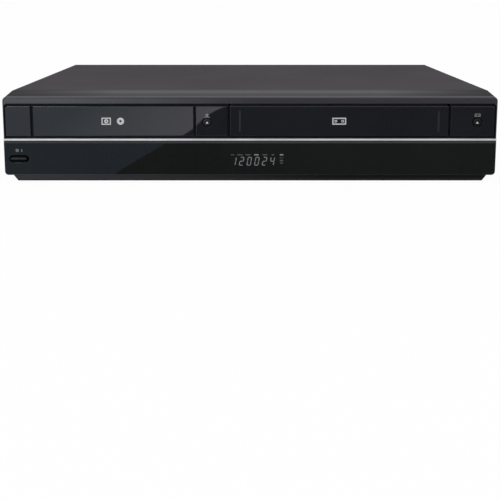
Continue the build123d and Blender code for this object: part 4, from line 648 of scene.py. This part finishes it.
def mark(name, outlines, face_y, body, material, sink=0.0):
    """Thin flat shapes on a face that looks to the front; an outline is a list of (x, z) points."""
    mesh = bmesh.new()
    for outline in outlines:
        mesh.faces.new([mesh.verts.new((x, face_y + sink, z)) for x, z in outline])
    bmesh.ops.remove_doubles(mesh, verts=mesh.verts, dist=PRINT_WELD)
    backs = mesh.faces[:]
    rims = [edge.verts[:] for edge in mesh.edges if edge.is_boundary]
    front_of = {vert: mesh.verts.new((vert.co.x, face_y - PRINT_LIFT, vert.co.z)) for vert in mesh.verts[:]}
    for face in backs:
        mesh.faces.new([front_of[vert] for vert in face.verts])
    for one, two in rims:
        mesh.faces.new((one, two, front_of[two], front_of[one]))
    finish_piece(name, mesh, body, material)


# Outlines of flat marks


def box_outline(x, z, wide, tall):
    """A rectangle about its middle."""
    return [(x + i * wide / 2, z + j * tall / 2) for i, j in ((-1, -1), (1, -1), (1, 1), (-1, 1))]


def slot_outline(x, z, wide, tall):
    """A bar with round ends about its middle."""
    points = []
    for side in (1, -1):
        for turn in range(CIRCLE_SIDES // 2 + 1):
            angle = side * pi / 2 * (4 * turn / CIRCLE_SIDES - 1)
            out = (wide - tall) / 2 + cos(angle) * tall / 2
            points.append((x + side * out, z + sin(angle) * tall / 2))
    return points


def arc_outlines(x, z, outer, inner, start=0.0, end=2 * pi):
    """A ring, or part of one, as short four-sided pieces."""
    count = round(CIRCLE_SIDES * (end - start) / (2 * pi))
    angles = [start + (end - start) * turn / count for turn in range(count + 1)]
    pieces = []
    for first, second in zip(angles, angles[1:]):
        corners = ((outer, first), (outer, second), (inner, second), (inner, first))
        pieces.append([(x + radius * cos(angle), z + radius * sin(angle)) for radius, angle in corners])
    return pieces


def frame_outlines(x, z, wide, tall, line):
    """A rectangle's outline as four mitred strips."""
    outer = box_outline(x, z, wide, tall)
    inner = box_outline(x, z, wide - 2 * line, tall - 2 * line)
    return [[outer[one], outer[two], inner[two], inner[one]] for one, two in ((0, 1), (1, 2), (2, 3), (3, 0))]


def segment_outlines(x, z, digit):
    """A seven-segment digit, slanted, about its middle."""
    half_wide = (DIGIT_WIDTH - DIGIT_STROKE) / 2
    half_tall = (DIGIT_HEIGHT - DIGIT_STROKE) / 2
    half = DIGIT_STROKE / 2
    starts = {  # each segment's left or lower end, and whether it lies flat
        "a": (-half_wide, half_tall, True),
        "b": (half_wide, 0, False),
        "c": (half_wide, -half_tall, False),
        "d": (-half_wide, -half_tall, True),
        "e": (-half_wide, -half_tall, False),
        "f": (-half_wide, 0, False),
        "g": (-half_wide, 0, True),
    }
    outlines = []
    for name in SEGMENT_SETS[digit]:
        across, up, flat = starts[name]
        near = DIGIT_GAP
        far = (2 * half_wide if flat else half_tall) - DIGIT_GAP
        bar = [(near, 0), (near + half, -half), (far - half, -half)]
        bar += [(far, 0), (far - half, half), (near + half, half)]
        points = [(across + i, up + j) if flat else (across + j, up + i) for i, j in bar]
        outlines.append([(x + i + j * DIGIT_SLANT, z + j) for i, j in points])
    return outlines


def disc_sign(x, z, scale=1.0):
    """A disc with its hole."""
    return arc_outlines(x, z, DISC_SIGN_RADIUS * scale, DISC_SIGN_HOLE * scale)


def tray_sign(x, z):
    """A disc over its tray's line."""
    return disc_sign(x, z) + [box_outline(x, z - TRAY_SIGN_DROP, *TRAY_SIGN)]


def caddy_sign(x, z, scale):
    """A disc in its caddy."""
    wide, tall = CADDY_SIGN
    outlines = frame_outlines(x, z, wide * scale, tall * scale, SIGN_LINE * scale)
    return outlines + arc_outlines(x, z, CADDY_SIGN_DISC * scale, CADDY_SIGN_HOLE * scale)


def cassette_sign(x, z, scale=1.0):
    """A cassette's outline with its two reels."""
    wide, tall = CASSETTE_SIGN
    outlines = frame_outlines(x, z, wide * scale, tall * scale, SIGN_LINE * scale)
    for side in (-1, 1):
        reel_x = x + side * wide * scale / 4
        outlines += arc_outlines(reel_x, z, CASSETTE_SIGN_REEL * scale, CASSETTE_SIGN_HUB * scale)
    return outlines


def arrow_outline(x, z):
    """An eject arrow, pointing up."""
    low = z - ARROW_HEIGHT / 2
    return [(x - ARROW_HALF, low), (x + ARROW_HALF, low), (x, z + ARROW_HEIGHT / 2)]


def power_sign(x, z):
    """A broken ring with a stroke through its gap, and an upright stroke beside it."""
    half = POWER_SIGN_GAP / 2
    inner = POWER_SIGN_RADIUS - POWER_SIGN_LINE
    ring_x = x - POWER_SIGN_SHIFT
    ring = arc_outlines(ring_x, z, POWER_SIGN_RADIUS, inner, pi / 2 + half, 5 * pi / 2 - half)
    through = box_outline(ring_x, z + POWER_SIGN_RADIUS / 2, POWER_SIGN_LINE, POWER_SIGN_RADIUS)
    beside = box_outline(x + POWER_SIGN_SHIFT, z, POWER_SIGN_LINE, 2 * POWER_SIGN_RADIUS)
    return ring + [through, beside]


# Marks on the front


def display_marks(face_y):
    """The display's digits, and the small bars over and beside them."""
    lit = ink("display_segments", *LIT_COLOURS, glow=DISPLAY_GLOW)
    dim = ink("display_marks", *DIM_COLOURS)
    middle = centre("display_tube")
    first = middle.x + DIGITS_SHIFT[0] - DIGIT_PITCH * (len(DIGITS) - 1) / 2
    digits = []
    for column, digit in enumerate(DIGITS):
        digits += segment_outlines(first + column * DIGIT_PITCH, middle.z + DIGITS_SHIFT[1], digit)
    mark("display_digits", digits, face_y, "case", lit)
    for name, material, shown in (("display_bars", lit, True), ("display_dim_bars", dim, False)):
        bars = [
            box_outline(middle.x + across * MM, middle.z + up * MM, wide * MM, tall * MM)
            for across, up, wide, tall, is_lit in DISPLAY_BARS
            if is_lit == shown
        ]
        mark(name, bars, face_y, "case", material)


def power_marks(face_y, faint):
    """The sign over the power key, and a lighter bar of painted highlight on the key."""
    painted_highlight = ink("power_key_painted_highlight", *POWER_HIGHLIGHT_COLOURS, specular=POWER_HIGHLIGHT_SPECULAR)
    key = centre("power_button")
    over_key = power_sign(key.x + POWER_SIGN_ASIDE, key.z + POWER_SIGN_RISE)
    mark("power_sign", over_key, face_y, "case", faint)
    # painted highlight: a lighter bar set into the key's face
    bar = slot_outline(key.x + POWER_HIGHLIGHT_SHIFT[0], key.z + POWER_HIGHLIGHT_SHIFT[1], *POWER_HIGHLIGHT_BAR)
    mark("power_key_painted_highlight", [bar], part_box("power_button")[0].y, "power_key", painted_highlight, POWER_HIGHLIGHT_SINK)


def eject_marks(printed, faint):
    """An arrow on each eject key, and over the key a sign of what it ejects."""
    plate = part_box("disc_key_plate")[0].y
    keys = (("disc_eject_button", "disc_key", tray_sign), ("tape_eject_button", "tape_key", cassette_sign))
    for node, body, sign in keys:
        key = centre(node)
        mark(node + "_arrow", [arrow_outline(key.x, key.z)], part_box(node)[0].y, body, printed)
        mark(node + "_sign", sign(key.x, key.z + SIGN_RISE), plate, "case", faint)


def door_marks(printed):
    """A caddy and a disc on the tray's door, and a cassette on the tape's."""
    z = centre("disc_key_plate").z
    tray_x = centre("tray_door").x
    tray_signs = caddy_sign(tray_x - DOOR_SIGN_SPREAD, z, DOOR_SIGN_SCALE)
    tray_signs += disc_sign(tray_x + DOOR_SIGN_SPREAD, z, DOOR_SIGN_SCALE)
    mark("tray_door_signs", tray_signs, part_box("tray_door")[0].y, "tray", printed)
    tape_sign = cassette_sign(centre("tape_door").x, z, DOOR_SIGN_SCALE)
    mark("tape_door_sign", tape_sign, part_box("tape_door")[0].y, "door", printed)


def front_marks():
    """Digits in the display, and signs on the plates, doors and keys."""
    printed = ink("sign_print", *PRINT_COLOURS)
    faint = ink("faint_print", *FAINT_COLOURS)
    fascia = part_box("lower_fascia")[0].y
    display_marks(fascia)
    power_marks(fascia, faint)
    eject_marks(printed, faint)
    door_marks(printed)


# Collars on the rear


def collar(mesh, x, y, z):
    """A ring round a jack's barrel, standing on the panel, with a bevelled rim."""
    profile = [
        (JACK_RADIUS, 0),
        (COLLAR_RADIUS, 0),
        (COLLAR_RADIUS, COLLAR_LENGTH - COLLAR_EDGE),
        (COLLAR_RADIUS - COLLAR_EDGE, COLLAR_LENGTH),
        (JACK_RADIUS, COLLAR_LENGTH),
    ]
    rows = []
    for turn in range(CIRCLE_SIDES):
        angle = 2 * pi * turn / CIRCLE_SIDES
        rows.append([mesh.verts.new((x + r * cos(angle), y + out, z + r * sin(angle))) for r, out in profile])
    for first, second in zip(rows, rows[1:] + rows[:1]):
        for one in range(len(profile)):
            two = (one + 1) % len(profile)
            mesh.faces.new((first[one], second[one], second[two], first[two]))


def jack_collars():
    """Coloured collars on the jacks, one colour to a column."""
    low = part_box("jack_block")[0]
    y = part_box("rear_panel")[1].y
    for index, (name, colours) in enumerate(COLLAR_COLOURS.items()):
        material = surface(name + "_collar", *colours, **COLLAR_FINISH)
        mesh = bmesh.new()
        for column in range(index, JACK_COLUMNS, len(COLLAR_COLOURS)):
            for row in range(JACK_ROWS):
                x = low.x + JACK_EDGE + column * JACK_PITCH
                collar(mesh, x, y, low.z + JACK_RISE + row * JACK_ROW_PITCH)
        finish_piece(name + "_collars", mesh, "case", material)


# Studio


def shown_rays(made):
    """1 for camera, glossy and transmission rays, else 0."""
    path = add(made, "LightPath").outputs
    first = compute(made, "MAXIMUM", path["Is Camera Ray"], path["Is Glossy Ray"])
    return compute(made, "MAXIMUM", first, path["Is Transmission Ray"])


def plane(name, half, front, back, z, material):
    """A level stage piece that reaches as far to the left as to the right, and from front to back."""
    corners = [(-half, front, z), (half, front, z), (half, back, z), (-half, back, z)]
    data = bpy.data.meshes.new(name)
    data.from_pydata(corners, [], [(0, 1, 2, 3)])
    data.materials.append(material)
    piece = bpy.data.objects.new(name, data)
    bpy.context.scene.collection.objects.link(piece)
    return piece


def floor():
    """A pale floor that looks almost white and still takes shadows."""
    made = bare(bpy.data.materials.new("studio_floor"))
    matte = add(made, "BsdfDiffuse", {"Color": FLOOR_COLOUR}).outputs["BSDF"]
    white = add(made, "Emission", {"Color": WHITE, "Strength": 1.0}).outputs["Emission"]
    share = product(made, shown_rays(made), FLOOR_WHITE_SHARE)
    look = add(made, "MixShader", {0: share, 1: matte, 2: white}).outputs["Shader"]
    add(made, "OutputMaterial", {"Surface": look})
    plane("studio_floor", FLOOR_HALF, -FLOOR_HALF, FLOOR_HALF, 0, made)


def mirror_card():
    """A card that only glossy rays see: dark to the right of a slanting edge, pale to its left."""
    made = bare(bpy.data.materials.new("mirror_card"))
    split = axes(made)
    far = drop(made, split["Y"], CARD_STEP_Y, CARD_STEP_SOFT)
    foot = step(made, split["Y"], CARD_FOOT_Y, CARD_FOOT_SOFT)
    back = compute(made, "SUBTRACT", split["Y"], CARD_EDGE_Y)
    lean = compute(made, "MULTIPLY_ADD", back, CARD_EDGE_SLOPE, split["X"])
    sway = product(made, far, wave(made, split["Y"], CARD_EDGE_SWAY_Y, CARD_EDGE_SWAY_LENGTH))
    bent = compute(made, "MULTIPLY_ADD", sway, -CARD_EDGE_SWAY, lean)
    lit = drop(made, bent, CARD_EDGE_X, CARD_EDGE_SOFT)
    near_level, left_level, edge_level = CARD_LEVELS
    rising = between(made, split["X"], left_level, edge_level, *CARD_RISE_X)
    top = between(made, split["Y"], 1.0, 0.0, *CARD_TOP_Y)
    falling = between(made, split["X"], *CARD_TOP_LEVELS, *CARD_TOP_X)
    level = blend(made, far, near_level, blend(made, top, rising, falling))
    foot_level = between(made, split["X"], *CARD_FOOT_LEVELS, *CARD_FOOT_X)
    shown = blend(made, foot, product(made, lit, level), foot_level)
    near_tint = mixed(made, foot, CARD_NEAR_TINT, CARD_FOOT_TINT)
    far_tint = mixed(made, ramp(made, split["X"], *CARD_RISE_X), *CARD_FAR_TINTS)
    tint = mixed(made, far, near_tint, far_tint)
    glow = add(made, "Emission", {"Color": tint, "Strength": shown}).outputs["Emission"]
    add(made, "OutputMaterial", {"Surface": glow})
    card = plane("mirror_card", CARD_HALF, -CARD_END, cad_box[0][1] - CARD_START, CARD_LIFT, made)
    card.visible_camera = False
    card.visible_diffuse = False
    card.visible_shadow = False
    card.visible_transmission = False


def lamp(name, aim, location, size, watts):
    """A round lamp turned to what it lights."""
    data = bpy.data.lights.new(name, "AREA")
    data.shape = "DISK"
    data.size = size
    data.energy = watts
    piece = bpy.data.objects.new(name, data)
    piece.location = location
    direction = piece.location - aim
    piece.rotation_euler = direction.to_track_quat("Z", "Y").to_euler()
    bpy.context.scene.collection.objects.link(piece)


def studio():
    """A white sky, dimmer as a light than it looks, with the floor, the card and two lamps."""
    world = bare(bpy.data.worlds.new("studio"))
    strength = blend(world, shown_rays(world), AMBIENT, 1.0)
    sky = add(world, "Background", {"Color": WHITE, "Strength": strength}).outputs["Background"]
    add(world, "OutputWorld", {"Surface": sky})
    bpy.context.scene.world = world
    floor()
    mirror_card()
    middle = centre("top_cover")
    lamp("key", middle, *KEY_LAMP)
    lamp("fill", middle, *FILL_LAMP)


def camera():
    """The photograph's camera, level across and looking slightly down."""
    data = bpy.data.cameras.new("camera")
    data.sensor_width = SENSOR
    data.lens = SENSOR * FOCAL_PIXELS / IMAGE_SIZE
    data.shift_y = (AXIS_ROW - IMAGE_SIZE / 2) / IMAGE_SIZE
    data.clip_start = CAMERA_CLIP
    piece = bpy.data.objects.new("camera", data)
    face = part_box("lower_fascia")[0].y
    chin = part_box("front_bezel")[0].z
    piece.location = (0, face - CAMERA_DISTANCE, chin + CAMERA_RISE)
    piece.rotation_euler = (pi / 2 - CAMERA_PITCH, 0, 0)
    bpy.context.scene.collection.objects.link(piece)
    bpy.context.scene.camera = piece


dress_nodes(make_materials(), special_materials())
front_marks()
jack_collars()
studio()
camera()
bpy.context.scene.view_settings.view_transform = "Standard"
